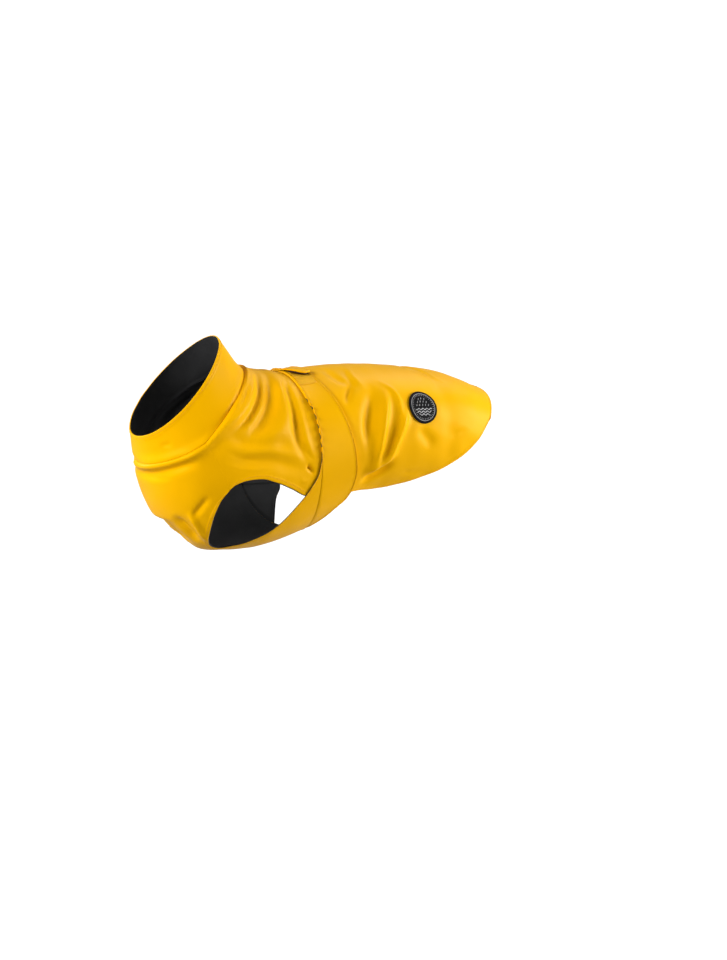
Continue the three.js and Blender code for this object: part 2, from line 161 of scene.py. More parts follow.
add_sweep()
for lamp_name, (lamp_place, lamp_size, lamp_watts) in LAMPS.items():
    add_lamp(lamp_name, lamp_place, lamp_size, lamp_watts)
world = bpy.data.worlds.new("studio")
world.use_nodes = True
world.node_tree.nodes["Background"].inputs["Color"].default_value = (1, 1, 1, 1)
seen_or_cast(world.node_tree, world.node_tree.nodes["Background"].inputs["Strength"])
bpy.context.scene.world = world
bpy.context.scene.view_settings.view_transform = "Standard"
print("lamps", list(LAMPS))

# %% [markdown]
# The coat's form is one smooth tube, wide at the chest and narrow at the neck. Rings stand along it, each
# with a top point and a bottom point in the middle plane, a half width, the height where it is widest, and
# how square it is. A station counts about a millimetre of coat from the collar's top edge to the rear hem,
# and an angle runs round the ring from the back's middle (0) down over the left side (90) to underneath
# (180). These are the same rings that the solids have, so that the cloth lies exactly where they are.

# %% Form
RINGS = np.array([
    # station, topX, topZ, bottomX, bottomZ, halfWidth, widest, topFull, bottomFull
    [0, -152, 50, -276, -82, 63, 0.55, -0.07, 0.0],
    [60, -122, 13, -268, -118, 78, 0.55, -0.16, 0.0],
    [120, -100, 4, -259, -152, 90, 0.55, -0.18, 0.05],
    [180, -82, 1, -235, -200, 98, 0.55, -0.12, 0.07],
    [228, -68, 0, -204, -232, 103, 0.52, -0.07, 0.1],
    [276, -52, -4, -165, -246, 106, 0.5, 0.0, 0.12],
    [324, -30, -6, -90, -243, 107, 0.48, 0.04, 0.1],
    [372, 0, -1, -15, -224, 108, 0.47, 0.06, 0.07],
    [420, 50, 2, 45, -203, 110, 0.46, 0.07, 0.1],
    [480, 130, -1, 130, -193, 111, 0.46, 0.07, 0.15],
    [540, 215, -12, 215, -190, 107, 0.46, 0.07, 0.15],
    [600, 290, -38, 285, -185, 92, 0.44, 0.05, 0.15],
])
TABLE_OVERRUN = 30
STRAP_STATION = 372


def smooth_table(knots, rows, keys):
    """Cubic pieces through the rows. The slope at a row is the mean of the chords beside it, weighted so that
    the nearer chord counts more, and the first and last slope are those of the end chords."""
    keys = np.clip(keys, knots[0] - TABLE_OVERRUN, knots[-1] + TABLE_OVERRUN)
    gaps = np.diff(knots)
    chords = np.diff(rows, axis=0) / gaps[:, None]
    slopes = np.vstack([chords[:1], chords[-1:]]) if len(rows) == 2 else np.vstack([
        chords[:1],
        (chords[:-1] * gaps[1:, None] + chords[1:] * gaps[:-1, None]) / (gaps[1:] + gaps[:-1])[:, None],
        chords[-1:],
    ])
    i = np.clip(np.searchsorted(knots, keys, side="left") - 1, 0, len(knots) - 2)
    t = ((keys - knots[i]) / gaps[i])[..., None]
    width = gaps[i][..., None]
    curve = (1 + 2 * t) * (1 - t) ** 2 * rows[i] + t * t * (3 - 2 * t) * rows[i + 1]
    return curve + width * (t * (1 - t) ** 2 * slopes[i] + t * t * (t - 1) * slopes[i + 1])


def form_point(station, angle):
    """Point of the form. Down the ring it goes (1 - cos) / 2 plus a share of sin squared that moves the
    widest place, and sideways halfWidth * sin, made fuller or slimmer between the axes by cos squared."""
    station, angle = np.broadcast_arrays(np.asarray(station, float), np.asarray(angle, float))
    ring = smooth_table(RINGS[:, 0], RINGS, station)
    columns = np.moveaxis(ring[..., 1:], -1, 0)
    top_x, top_z, bottom_x, bottom_z, half_width, widest, top_full, bottom_full = columns
    cosine = np.cos(np.radians(angle))
    sine = np.sin(np.radians(angle))
    full = (top_full * (1 + cosine) + bottom_full * (1 - cosine)) / 2
    down = (1 - cosine) / 2 + (widest - 0.5) * sine**2
    y = -half_width * sine * (1 + full * cosine**2)
    return np.stack([top_x + (bottom_x - top_x) * down, y, top_z + (bottom_z - top_z) * down], -1)


def unit(vectors):
    return vectors / np.maximum(np.linalg.norm(vectors, axis=-1, keepdims=True), 1e-9)


def form_normal(station, angle):
    along = form_point(station + 0.5, angle) - form_point(station - 0.5, angle)
    around = form_point(station, angle + 0.5) - form_point(station, angle - 0.5)
    return unit(np.cross(around, along))


def smooth_step(start, end, value):
    t = np.clip((value - start) / (end - start), 0, 1)
    return t * t * (3 - 2 * t)


def turned_angle(angle):
    """Angle from the back's middle, alike on both sides."""
    return np.abs((angle + 180) % 360 - 180)


def length_along(points):
    """Length from the first point of a line of points to each of them."""
    return np.concatenate([[0], np.cumsum(np.linalg.norm(np.diff(points, axis=0), axis=1))])


strap_ring = form_point(STRAP_STATION, np.linspace(0, 360, 200))
print("girth at the strap", round(length_along(strap_ring)[-1]), "mm")

# %% [markdown]
# Folds come from two tables. FOLDS holds the large ones, which the solids have too. CREASES holds the
# smaller and crisper ones that only show at a closer look. Each is a curve through three places on the form,
# and lifts or lowers the cloth by its height, fading to nothing at its sides and ends. The power says how
# crisp its crest is: 2 is round, and nearer 1 is sharp.

# %% Folds
FOLDS = np.array([
    # startStation, startAngle, middleStation, middleAngle, endStation, endAngle, width, height
    [70, 212, 72, 144, 114, 100, 9, 5.5],
    [98, 210, 88, 150, 118, 116, 7, -5],
    [70, 132, 95, 90, 97, 46, 7, 4.5],
    [106, 16, 116, 62, 88, 94, 7, 4],
    [130, 8, 143, 54, 112, 90, 7, -4],
    [150, 6, 162, 52, 130, 86, 7, 3],
    [162, 2, 190, 52, 128, 86, 10, -4.5],
    [200, 6, 240, 61, 152, 84, 14, 6],
    [100, 94, 187, 80, 306, 72, 9, -3],
    [118, 97, 216, 82, 322, 86, 7, 1.8],
    [130, 106, 238, 87, 344, 102, 10, -3.5],
    [232, 12, 272, 59, 326, 96, 7, -4.5],
    [260, 14, 290, 60, 332, 96, 6, 2.5],
    [176, 194, 214, 191, 270, 184, 30, -13],
    [170, 148, 205, 151, 246, 159, 5, 5],
    [168, 164, 201, 161, 236, 166, 8, -5.5],
    [174, 124, 179, 137, 188, 150, 5, -3],
    [410, 34, 386, 51, 366, 64, 5, -4.5],
    [392, 8, 386, 28, 404, 42, 7, -3],
    [432, 38, 405, 82, 388, 118, 10, -7],
    [446, 42, 425, 86, 419, 126, 7, 6],
    [434, 36, 451, 62, 440, 92, 5, 3],
    [460, 68, 446, 91, 424, 122, 7, 6.5],
    [452, 98, 424, 113, 386, 115, 7, 4],
    [444, 112, 422, 122, 386, 124, 6, -3.5],
    [470, 84, 481, 95, 494, 104, 9, -2.5],
    [130, 246, 92, 224, 86, 196, 8, -4.5],
    [108, 318, 112, 290, 98, 262, 9, 4],
    [120, 330, 124, 300, 118, 272, 8, -4],
    [220, 340, 240, 312, 190, 286, 11, 5],
    [254, 326, 280, 300, 318, 276, 9, -5.5],
    [278, 312, 300, 294, 316, 272, 8, 4],
    [184, 196, 200, 210, 238, 206, 7, -3.5],
    [410, 322, 396, 304, 382, 292, 8, -4],
    [438, 306, 412, 286, 396, 262, 11, -6],
    [452, 300, 428, 278, 424, 252, 9, 5.5],
    [462, 296, 446, 262, 402, 242, 11, -6.5],
    [486, 290, 492, 272, 482, 250, 12, -3],
    [520, 30, 510, 8, 522, 344, 14, -2.5],
])
FOLD_CHORDS = 10
FOLD_FADE = 0.35
FOLD_REACH = 4
STRAP_FRONT = 284
STRAP_FRONT_SHIFT = 50
STRAP_REAR = 353
STRAP_REAR_SHIFT = 42
STRAP_CALM = 0.94
CALM_AHEAD = 14
CALM_BEHIND = (24, 7)


def fold_points(fold):
    """Places t = 0 to 1 along a fold, on the parabola through its start, middle and end."""
    t = np.linspace(0, 1, FOLD_CHORDS + 1)
    shares = [2 * (t - 0.5) * (t - 1), 4 * t * (1 - t), 2 * t * (t - 0.5)]
    station = sum(share * fold[2 * k] for k, share in enumerate(shares))
    angle = sum(share * fold[2 * k + 1] for k, share in enumerate(shares))
    return form_point(station, angle)


def fold_height(points, table, power=2.0):
    """Sum over the folds of height * exp(-(distance / width) ** power), the distance to the nearest chord
    of the fold, times a fade over the first and last third of its length. Points far from a fold are
    passed over."""
    flat = points.reshape(-1, 3)
    total = np.zeros(len(flat))
    for fold in table:
        curve = fold_points(fold)
        width, height = fold[6], fold[7]
        reach = np.linalg.norm(curve[-1] - curve[0]) + FOLD_REACH * width
        near = np.linalg.norm(flat - curve.mean(0), axis=1) < reach
        close = flat[near]
        best = np.full(len(close), np.inf)
        place = np.zeros(len(close))
        for k in range(FOLD_CHORDS):
            chord = curve[k + 1] - curve[k]
            t = np.clip((close - curve[k]) @ chord / (chord @ chord), 0, 1)
            distance = np.linalg.norm(close - curve[k] - t[:, None] * chord, axis=1)
            closer = distance < best
            best[closer] = distance[closer]
            place[closer] = (k + t[closer]) / FOLD_CHORDS
        fade = smooth_step(0, FOLD_FADE, place) * smooth_step(1, 1 - FOLD_FADE, place)
        total[near] += height * fade * np.exp(-((best / width) ** power))
    return total.reshape(points.shape[:-1])


def calm(station, angle):
    """The strap pulls the cloth under it flat, between its front edge and its rear edge."""
    front = STRAP_FRONT + STRAP_FRONT_SHIFT * smooth_step(0, 90, turned_angle(angle))
    rear = STRAP_REAR + STRAP_REAR_SHIFT * smooth_step(20, 110, turned_angle(angle))
    behind_front = smooth_step(front - CALM_AHEAD, front, station)
    before_rear = smooth_step(rear + CALM_BEHIND[0], rear + CALM_BEHIND[1], station)
    return 1 - STRAP_CALM * behind_front * before_rear


print(len(FOLDS), "large folds")

# %% [markdown]
# The pieces are cut by tables too. A row of the back panel or the underside runs from its left edge over the
# middle plane to its right edge, and the table gives the edge's station and angle and the station in the
# middle. The first rows of both are their shoulder seam, which they share.

# %% Cut of the pieces
SHOULDER_SEAM = [[86, 107], [133, 107], [173, 109], [193.5, 113]]
BACK_AT_SHOULDER = [[84, -9], [118, -6], [150, -3], [168, 0]]
CHEST_AT_SHOULDER = [[61, 3], [105, 3], [140, 3], [160, 2]]
BACK_LOWER_EDGE = [
    # edgeStation, edgeAngle, middleStation, bow
    [193.5, 113, 168, 0],
    [195, 109.5, 175, 0],
    [203, 105, 188, 0],
    [224, 100.3, 212, 0],
    [250, 98.5, 242, 0],
    [278, 100.5, 274, 0],
    [303, 106, 302, 0],
    [326, 114, 326, 0],
    [355, 121, 352, 0],
    [400, 131, 396, 0],
    [437, 138.2, 434, 0],
    [469, 136.5, 468, 0],
    [500, 129, 502, 0],
    [529, 115, 536, 0],
    [555, 96, 568, 0],
    [575, 75, 600, 0],
]
UNDERSIDE_EDGE = [
    # edgeStation, edgeAngle, middleStation, bow
    [193.5, 113, 160, 2],
    [194.5, 122, 170, 1],
    [203, 132.5, 184, 0],
    [219, 145, 204, 0],
    [235, 155, 226, 0],
    [250, 161, 247, 0],
    [266, 163, 266, 0],
    [284, 157, 284, 0],
    [298, 147, 298, 0],
    [311, 133, 310, 0],
    [319, 121, 318, 0],
    [329, 110, 326, 0],
    [336, 99, 332, 0],
    [335, 89, 337, 0],
]
WING_FRONT_CORNER = np.array([335, 89])
WING_REAR_CORNER = np.array([362, 162])
BELLY_REAR_MIDDLE = 366
WING_ROWS = [
    # frontStation, frontAngle, rearStation, rearAngle, bow in degrees
    [335, 89, 362, 162, 0],
    [332, 83, 379, 143, 0],
    [328, 75, 392, 134, 0],
    [322, 65, 395, 117, 0],
    [314, 53, 388, 95, 0],
    [306, 46, 379, 76, 0],
    [300, 39, 365, 50, 0],
    [294, 31, 355, 33, 0],
    [287, 14, 353, 14, 0],
]
WING_LEFT_END = [[284, -6, 352, -6, 0]]
WING_RIGHT_END = [[284, 2, 353, -2, -3], [284, -5, 354, -17, -9]]
COLLAR_PINCH = 1.9
COLLAR_PINCH_WIDTH = 6
COLLAR_RIDGE = 2.3
COLLAR_RIDGE_PLACE = 10
COLLAR_RIDGE_WIDTH = 8


def row_station(edge, middle, bow, share):
    """Station on a row at a share of the way from the middle plane (0) to the edge (1). The factor 27 / 4
    makes the bow's own height its largest shift."""
    return middle + (edge - middle) * share**2 + bow * 6.75 * share**2 * (1 - share)


def collar_seam(angle):
    """Station of the seam between collar and panels: the first row of the back panel and of the underside."""
    turned = turned_angle(angle)
    edge_station, edge_angle = SHOULDER_SEAM[0]
    back = row_station(edge_station, *BACK_AT_SHOULDER[0], turned / edge_angle)
    chest = row_station(edge_station, *CHEST_AT_SHOULDER[0], (180 - turned) / (180 - edge_angle))
    return np.where(turned <= edge_angle, back, chest)


def pinch(station, angle):
    """The collar's seam draws the cloth in, and the panels swell a little behind it."""
    behind = station - collar_seam(angle)
    groove = np.exp(-((behind / COLLAR_PINCH_WIDTH) ** 2))
    ridge = np.exp(-(((behind - COLLAR_RIDGE_PLACE) / COLLAR_RIDGE_WIDTH) ** 2))
    return COLLAR_RIDGE * ridge - COLLAR_PINCH * groove


print("collar is", round(float(collar_seam(0))), "stations high at the back,",
      round(float(collar_seam(180))), "at the throat")

# %% [markdown]
# A close look shows more than the large folds: short creases that run out of the seams, and a slight
# unevenness all over, because coated cloth is stiff and keeps its dents. The unevenness is a product of two
# slow waves, each bent by a third, so that no repeat shows.

# %% Small creases
CREASES = np.array([
    # startStation, startAngle, middleStation, middleAngle, endStation, endAngle, width, height
    [98, 182, 103, 164, 112, 146, 3, -1.6],
    [30, 148, 36, 140, 42, 133, 3, -1.5],
    [126, 100, 170, 92, 232, 87, 2.5, -0.8],
    [140, 106, 190, 97, 262, 90, 2.5, 0.7],
    [206, 118, 200, 128, 206, 140, 3, 0.8],
    [314, 91, 323, 96, 333, 100, 2.4, -5.5],
    [310, 100, 318, 103, 330, 103, 3, 1.2],
    [232, 20, 232, 34, 222, 50, 4, 1.2],
    [262, 16, 262, 30, 254, 44, 3.5, -1.2],
    [300, 76, 312, 84, 330, 92, 3, -1.5],
    [424, 14, 412, 30, 417, 52, 4, 1.6],
    [414, 18, 403, 32, 407, 50, 3.5, -1.4],
    [380, 62, 388, 72, 396, 80, 3, -1.4],
    [444, 50, 425, 86, 420, 120, 2.6, 1.2],
    [462, 64, 447, 89, 428, 118, 2.6, 1.6],
    [440, 40, 452, 62, 447, 84, 3, 0.8],
    [446, 108, 428, 120, 396, 122, 5, -2.5],
    [458, 122, 470, 126, 486, 122, 5, -1.0],
    [512, 98, 522, 92, 536, 90, 5, -1.0],
    [92, 40, 98, 60, 96, 84, 3, -1.2],
    [70, 24, 66, 52, 70, 84, 4, 0.9],
    [100, 212, 108, 226, 122, 244, 3, -1.4],
    [60, 300, 66, 280, 62, 256, 4, 1.0],
    [160, 318, 168, 300, 164, 280, 4, -1.6],
    [238, 336, 236, 320, 226, 306, 4, 1.2],
    [300, 288, 314, 276, 330, 268, 3, -1.6],
    [414, 342, 406, 326, 410, 308, 3.5, -1.4],
    [432, 296, 418, 276, 414, 254, 3.5, -1.8],
    [464, 300, 454, 276, 434, 252, 3, 1.2],
    [500, 262, 512, 268, 530, 270, 5, -1.0],
    [434, 326, 404, 292, 388, 258, 4, -3.0],
    [452, 314, 424, 278, 424, 240, 5, 3.2],
    [470, 298, 452, 266, 422, 244, 4, -2.6],
    [448, 258, 430, 246, 394, 240, 5, 2.6],
    [96, 340, 120, 304, 96, 274, 5, 2.8],
    [132, 348, 140, 318, 108, 280, 4, -2.6],
    [156, 352, 186, 316, 138, 274, 6, -3.0],
    [208, 350, 236, 308, 160, 282, 7, 3.4],
    [240, 344, 268, 308, 322, 272, 5, -3.2],
    [268, 340, 294, 306, 336, 270, 4, 2.0],
    [108, 262, 184, 280, 300, 284, 6, -1.8],
    [136, 250, 230, 272, 338, 262, 6, -2.2],
])
CREASE_POWER = 1.5
UNEVEN = 0.3


def unevenness(points):
    x, y, z = np.moveaxis(points, -1, 0)
    first = np.sin(0.105 * x + 0.06 * z + 1.4 * np.sin(0.043 * z + 0.02 * y))
    second = np.sin(0.083 * z - 0.047 * x + 0.03 * y + 1.8 * np.sin(0.029 * x + 1.1))
    return UNEVEN * first * second


def cloth_height(station, angle):
    """Height of cloth over the form: folds, creases and unevenness, calmed by the strap, and the pinch."""
    points = form_point(station, angle)
    quiet = calm(station, angle)
    folds = fold_height(points, FOLDS) + fold_height(points, CREASES, CREASE_POWER) + unevenness(points)
    return folds * quiet + pinch(station, angle)


print(len(CREASES), "small creases")

# %% [markdown]
# A piece of cloth is a grid of places, each a station and an angle. Near a hem the grid is fine, so that the
# turned-in edge, its row of stitches and its rounded lip are real shape, and elsewhere it has an even step.

# %% Grids
GRID_STEP = 2.7
ROW_SAMPLES = 25
HEM_OFFSETS = np.array([0, 0.3, 0.8, 1.6, 2.8, 3.8, 4.6, 5.4, 6.2, 7.4, 9.0])


def edge_knots(rows):
    """Length along a table's edge, from row to row."""
    return length_along(form_point(rows[:, 0], rows[:, 1]))


def spots(length, step, fine_start=False, fine_end=False):
    """Distances from 0 to length: an even step in the middle, and the hem offsets at a fine end."""
    start = HEM_OFFSETS if fine_start else np.zeros(1)
    end = length - HEM_OFFSETS[::-1] if fine_end else np.array([length])
    count = max(2, int(np.ceil((end[0] - start[-1]) / step)))
    return np.concatenate([start, np.linspace(start[-1], end[0], count + 1)[1:-1], end])


def row_places(rows, middle_angle, shares):
    """Station and angle of every row at its shares of the way from the middle plane to the edge."""
    angle = middle_angle + (rows[:, 1:2] - middle_angle) * shares
    return row_station(rows[:, 0:1], rows[:, 2:3], rows[:, 3:4], shares), angle


def panel_grid(tables, middle_angle):
    """Rows of all tables in turn, the shared ones once, each row from its left edge to its right one. The
    last table ends in a hem. The counts say how many rows come from each table."""
    rows = []
    for number, table in enumerate(tables):
        table = np.array(table, float)
        knots = edge_knots(table)
        keys = spots(knots[-1], GRID_STEP, fine_end=number == len(tables) - 1)
        rows.append(smooth_table(knots, table, keys)[1 if number else 0:])
    counts = [len(part) for part in rows]
    rows = np.vstack(rows)
    sampled = form_point(*row_places(rows, middle_angle, np.linspace(0, 1, ROW_SAMPLES)))
    half = np.linalg.norm(np.diff(sampled, axis=1), axis=-1).sum(1)[:, None]
    hem = 1 - HEM_OFFSETS[:-1] / half
    reach = 1 - HEM_OFFSETS[-1] / half
    count = int(np.ceil(half.max() / GRID_STEP))
    shares = np.clip(np.hstack([hem, reach * np.linspace(1, 0, count)]), 0, 1)
    station, angle = row_places(rows, middle_angle, shares)
    other = (2 * middle_angle - angle)[:, -2::-1]
    return np.hstack([station, station[:, -2::-1]]), np.hstack([angle, other]), counts


def edge_distances(points):
    """Distance along the columns to the first and last row, and along the rows to their two ends."""
    down = np.cumsum(np.linalg.norm(np.diff(points, axis=0, prepend=points[:1]), axis=-1), axis=0)
    across = np.cumsum(np.linalg.norm(np.diff(points, axis=1, prepend=points[:, :1]), axis=-1), axis=1)
    return down, down[-1:] - down, across, across[:, -1:] - across


print("hem columns at", HEM_OFFSETS, "mm")

# %% [markdown]
# Hems and seams are relief on the cloth. A hem is the cloth folded in twice: it stands proud by its own
# thickness up to its row of stitches, puckers a little between them, and rounds off at the lip. A seam sinks
# in, because the stitches draw the two pieces together.

# %% Relief of hems and seams
CLOTH = 1.3
TAPE = 0.7
LAYER_GAP = 0.1
STRAP_LIFT = 2.2
LOOP_LIFT = STRAP_LIFT + LAYER_GAP + TAPE
HOOK_LIFT = LOOP_LIFT + LAYER_GAP + TAPE
OVERLAP_LIFT = HOOK_LIFT + LAYER_GAP + CLOTH
LIP_RISE = 5.2
LINING_PEEK = 1.5
HEM_WIDTH = 6.0
HEM_RISE = 0.5
STITCH_INSET = 4.6
STITCH_SINK = 0.3
STITCH_GROOVE = 0.7
LIP_ROUND = 0.55
LIP_ROUND_WIDTH = 1.2
PUCKER = 0.16
PUCKER_LENGTH = 8.5
PUCKER_REACH = 5
SEAM_SINKS = {"seam": 0.3, "lapped": 1.1}
SEAM_REACH = 1.3
SEAM_PUCKER = 0.06


def hem_relief(distance, along):
    """Height by distance from the lip: a step down at the hem's width, a groove at the stitches, a round lip,
    and a small wave along the edge that dies away from the stitches."""
    step = HEM_RISE * smooth_step(HEM_WIDTH + 1.0, HEM_WIDTH - 0.2, distance)
    groove = STITCH_SINK * np.exp(-(((distance - STITCH_INSET) / STITCH_GROOVE) ** 2))
    lip = LIP_ROUND * (1 - np.clip(distance / LIP_ROUND_WIDTH, 0, 1)) ** 2
    wave = np.sin(2 * np.pi * along / PUCKER_LENGTH + 1.7 * np.sin(along / 23))
    pucker = PUCKER * wave * np.exp(-(((distance - STITCH_INSET) / PUCKER_REACH) ** 2))
    return step - groove - lip + pucker


def seam_relief(distance, along, sink):
    """Height by distance from the seam: a narrow groove, and a smaller wave along it."""
    wave = np.sin(2 * np.pi * along / PUCKER_LENGTH + 1.3 * np.sin(along / 19))
    pucker = SEAM_PUCKER * wave * np.exp(-((distance / PUCKER_REACH) ** 2))
    return -sink * np.exp(-((distance / SEAM_REACH) ** 2)) + pucker


def edge_relief(points, start, end, first, last):
    """Sum of the relief of four edges. Each is None, "hem", a kind of seam, or hem shares by row."""
    distances = edge_distances(points)
    alongs = (distances[2], distances[2], distances[0], distances[0])
    total = np.zeros(points.shape[:2])
    for kind, distance, along in zip((start, end, first, last), distances, alongs):
        if kind is None:
            continue
        named = isinstance(kind, str)
        share = float(kind == "hem") if named else kind
        sink = SEAM_SINKS.get(kind, 0.0) if named else SEAM_SINKS["seam"]
        total += share * hem_relief(distance, along) + (1 - share) * seam_relief(distance, along, sink)
    return total


print("strap lies", round(STRAP_LIFT, 1), "mm over the form, the lapped end", round(OVERLAP_LIFT, 1), "mm")

# %% [markdown]
# The shell of a piece has an outer face, an inner face and a strip round its edge, closed like real cloth.
# The outer face is yellow and the inner face is the dark lining, so each shell has two materials. Along the
# panels' hems the lining peeks out under the yellow edge, as a thin dark line. On the strap the rim takes the
# dark lining only where the front edge stands open: that is painted shade, a dark strip standing in for the
# shadow in those small gaps. On the collar the lining shows nowhere. A shell's UV map holds lengths in metres
# along and across the cloth, so that a weave keeps its size everywhere.

# %% Shells
def mesh_volume(vertices, faces):
    """Volume inside the faces, as tetrahedra from the origin: above zero where the faces look outwards."""
    a, b, c, d = (vertices[faces[:, k]] for k in range(4))
    return (np.einsum("ij,ij->i", a, np.cross(b, c)) + np.einsum("ij,ij->i", a, np.cross(c, d))).sum() / 6


def add_object(name, vertices, faces, slots=None, uv=None):
    """Mesh from arrays: vertices in millimetres and faces with four corners each, turned to look outwards."""
    if mesh_volume(vertices, faces) < 0:
        faces = faces[:, ::-1]
    mesh = bpy.data.meshes.new(name)
    mesh.vertices.add(len(vertices))
    mesh.vertices.foreach_set("co", (vertices * MM).astype(np.float32).ravel())
    mesh.loops.add(faces.size)
    mesh.loops.foreach_set("vertex_index", faces.astype(np.int32).ravel())
    mesh.polygons.add(len(faces))
    mesh.polygons.foreach_set("loop_start", np.arange(0, faces.size, faces.shape[1], dtype=np.int32))
    if slots is not None:
        mesh.polygons.foreach_set("material_index", slots.astype(np.int32))
    mesh.update(calc_edges=True)
    mesh.shade_smooth()
    if uv is not None:
        layer = mesh.uv_layers.new(name="cloth")
        layer.data.foreach_set("uv", uv[faces.ravel()].astype(np.float32).ravel())
    piece = bpy.data.objects.new(name, mesh)
    bpy.context.scene.collection.objects.link(piece)
    return piece


def grid_faces(rows, columns, closed):
    """Quads between neighbours of a grid. On a closed grid the last column meets the first."""
    index = np.arange(rows * columns).reshape(rows, columns)
    after = np.roll(index, -1, axis=1)
    if not closed:
        index, after = index[:, :-1], after[:, :-1]
    return np.stack([index[:-1], after[:-1], after[1:], index[1:]], -1).reshape(-1, 4)


def rim_faces(rows, columns, closed):
    """Quads that join the edge of the outer grid to the edge of the inner one."""
    index = np.arange(rows * columns).reshape(rows, columns)
    top, bottom = index[0], index[-1][::-1]
    if closed:
        loops = [np.append(top, top[0]), np.append(bottom, bottom[0])]
    else:
        loops = [np.concatenate([top, index[1:, -1], bottom[1:], index[-2::-1, 0]])]
    strips = [np.stack([a[1:], a[:-1], a[:-1] + rows * columns, a[1:] + rows * columns], -1) for a in loops]
    return np.vstack(strips)


def mesh_area(grid, closed=False):
    """Area of a grid of points, as the two triangles of each quad, in square metres."""
    points = grid.reshape(-1, 3)
    a, b, c, d = (points[grid_faces(*grid.shape[:2], closed)[:, k]] for k in range(4))
    crosses = np.stack([np.cross(b - a, c - a), np.cross(c - a, d - a)])
    return np.linalg.norm(crosses, axis=-1).sum() / 2 * MM**2


def cloth_shell(name, outer, inner, closed=False, rim_slot=1, painted_shade_front=None):
    """Closed shell of two grids. Its rim takes one material, but for the rows of the first column's side, the
    front of a wing, that are marked for painted shade: there the rim takes the dark lining, standing in for
    the shadow in the gaps under the wing's front edge."""
    rows, columns = outer.shape[:2]
    down, _, across, _ = edge_distances(outer)
    uv = np.tile(np.stack([across, down], -1).reshape(-1, 2) * MM, (2, 1))
    face = grid_faces(rows, columns, closed)
    back = face[:, ::-1] + rows * columns
    rim = rim_faces(rows, columns, closed)
    vertices = np.vstack([outer.reshape(-1, 3), inner.reshape(-1, 3)])
    faces = np.vstack([face, back, rim])
    slots = np.repeat([0, 1, rim_slot], [len(face), len(back), len(rim)])
    # painted shade: the gaping rows of a wing's front rim take the dark lining
    if painted_shade_front is not None:
        slots[1 - rows:] = np.where(painted_shade_front[-2::-1], 1, rim_slot)
    print(name, len(faces) * 2, "triangles, face", round(mesh_area(outer, closed), 4), "square metres")
    return add_object(name, vertices, faces, slots, uv)


def finish_piece(piece, slot, *materials):
    """Materials and body of a piece. The slot argument is not used."""
    for material in materials:
        piece.data.materials.append(material)
    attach(piece, "root")


print("a shell is", CLOTH, "mm thick and closed round its rim")

# %% [markdown]
# Finishes. The coated cloth is a yellow rubbery film on a fine weave: its gloss is broad, and the weave
# shows only close by, as a tiny relief. The weave, and the grain that breaks up the gloss, are one node
# group each, so that cloth, lining and tape can all use them at their own scale.

# %% Node groups
def new_group(name, inputs, outputs):
    """A shader node group with named number or vector inputs, each with its value, and named outputs."""
    group = bpy.data.node_groups.new(name, "ShaderNodeTree")
    for socket_name, kind, value in inputs:
        socket = group.interface.new_socket(socket_name, in_out="INPUT", socket_type=kind)
        if value is not None:
            socket.default_value = value
    for socket_name, kind in outputs:
        group.interface.new_socket(socket_name, in_out="OUTPUT", socket_type=kind)
    return group, group.nodes.new("NodeGroupInput"), group.nodes.new("NodeGroupOutput")


def math_node(tree, operation, first, second=None):
    node = tree.nodes.new("ShaderNodeMath")
    node.operation = operation
    for socket, value in zip(node.inputs, (first, second)):
        if isinstance(value, (int, float)):
            socket.default_value = value
        elif value is not None:
            tree.links.new(value, socket)
    return node.outputs[0]


def weave_group():
    """Plain weave: the product of a sine across the warp and one along the weft, as a height from 0 to 1."""
    group, source, sink = new_group(
        "woven_threads",
        [("UV", "NodeSocketVector", None), ("Thread", "NodeSocketFloat", 0.0005)],
        [("Height", "NodeSocketFloat")],
    )
    parts = group.nodes.new("ShaderNodeSeparateXYZ")
    group.links.new(source.outputs["UV"], parts.inputs[0])
    turns = math_node(group, "DIVIDE", float(np.pi), source.outputs["Thread"])
    waves = [math_node(group, "SINE", math_node(group, "MULTIPLY", parts.outputs[k], turns)) for k in (0, 1)]
    product = math_node(group, "MULTIPLY", math_node(group, "MULTIPLY", *waves), 0.5)
    group.links.new(math_node(group, "ADD", product, 0.5), sink.inputs["Height"])
    return group


def grain_group():
    """Uneven mask from two sizes of noise, 0 to 1, for what breaks up a colour or a gloss."""
    group, source, sink = new_group(
        "uneven_grain",
        [
            ("Vector", "NodeSocketVector", None),
            ("Coarse", "NodeSocketFloat", 14.0),
            ("Fine", "NodeSocketFloat", 180.0),
        ],
        [("Coarse mask", "NodeSocketFloat"), ("Fine mask", "NodeSocketFloat")],
    )
    for scale, mask, detail in (("Coarse", "Coarse mask", 3.0), ("Fine", "Fine mask", 5.0)):
        noise = group.nodes.new("ShaderNodeTexNoise")
        noise.inputs["Detail"].default_value = detail
        group.links.new(source.outputs["Vector"], noise.inputs["Vector"])
        group.links.new(source.outputs[scale], noise.inputs["Scale"])
        group.links.new(noise.outputs["Fac"], sink.inputs[mask])
    return group


WEAVE = weave_group()
GRAIN = grain_group()
print("node groups", WEAVE.name, GRAIN.name)

# %% [markdown]
# Five cloths and two rubbers come from these groups. A cloth's colour drifts a little with the coarse grain,
# its gloss with the fine grain, and its weave and fine grain are relief. Rubber has the drift in its colour and the fine relief.

# %% Materials
RAMP = (0.3, 0.7)
CLOTH_GRAIN_BUMP = (0.25, 0.0004)
WEAVE_BUMP = 0.5
RUBBER_GRAIN = {"Coarse": 60.0, "Fine": 1400.0}
RUBBER_GRAIN_BUMP = (0.3, 0.0002)


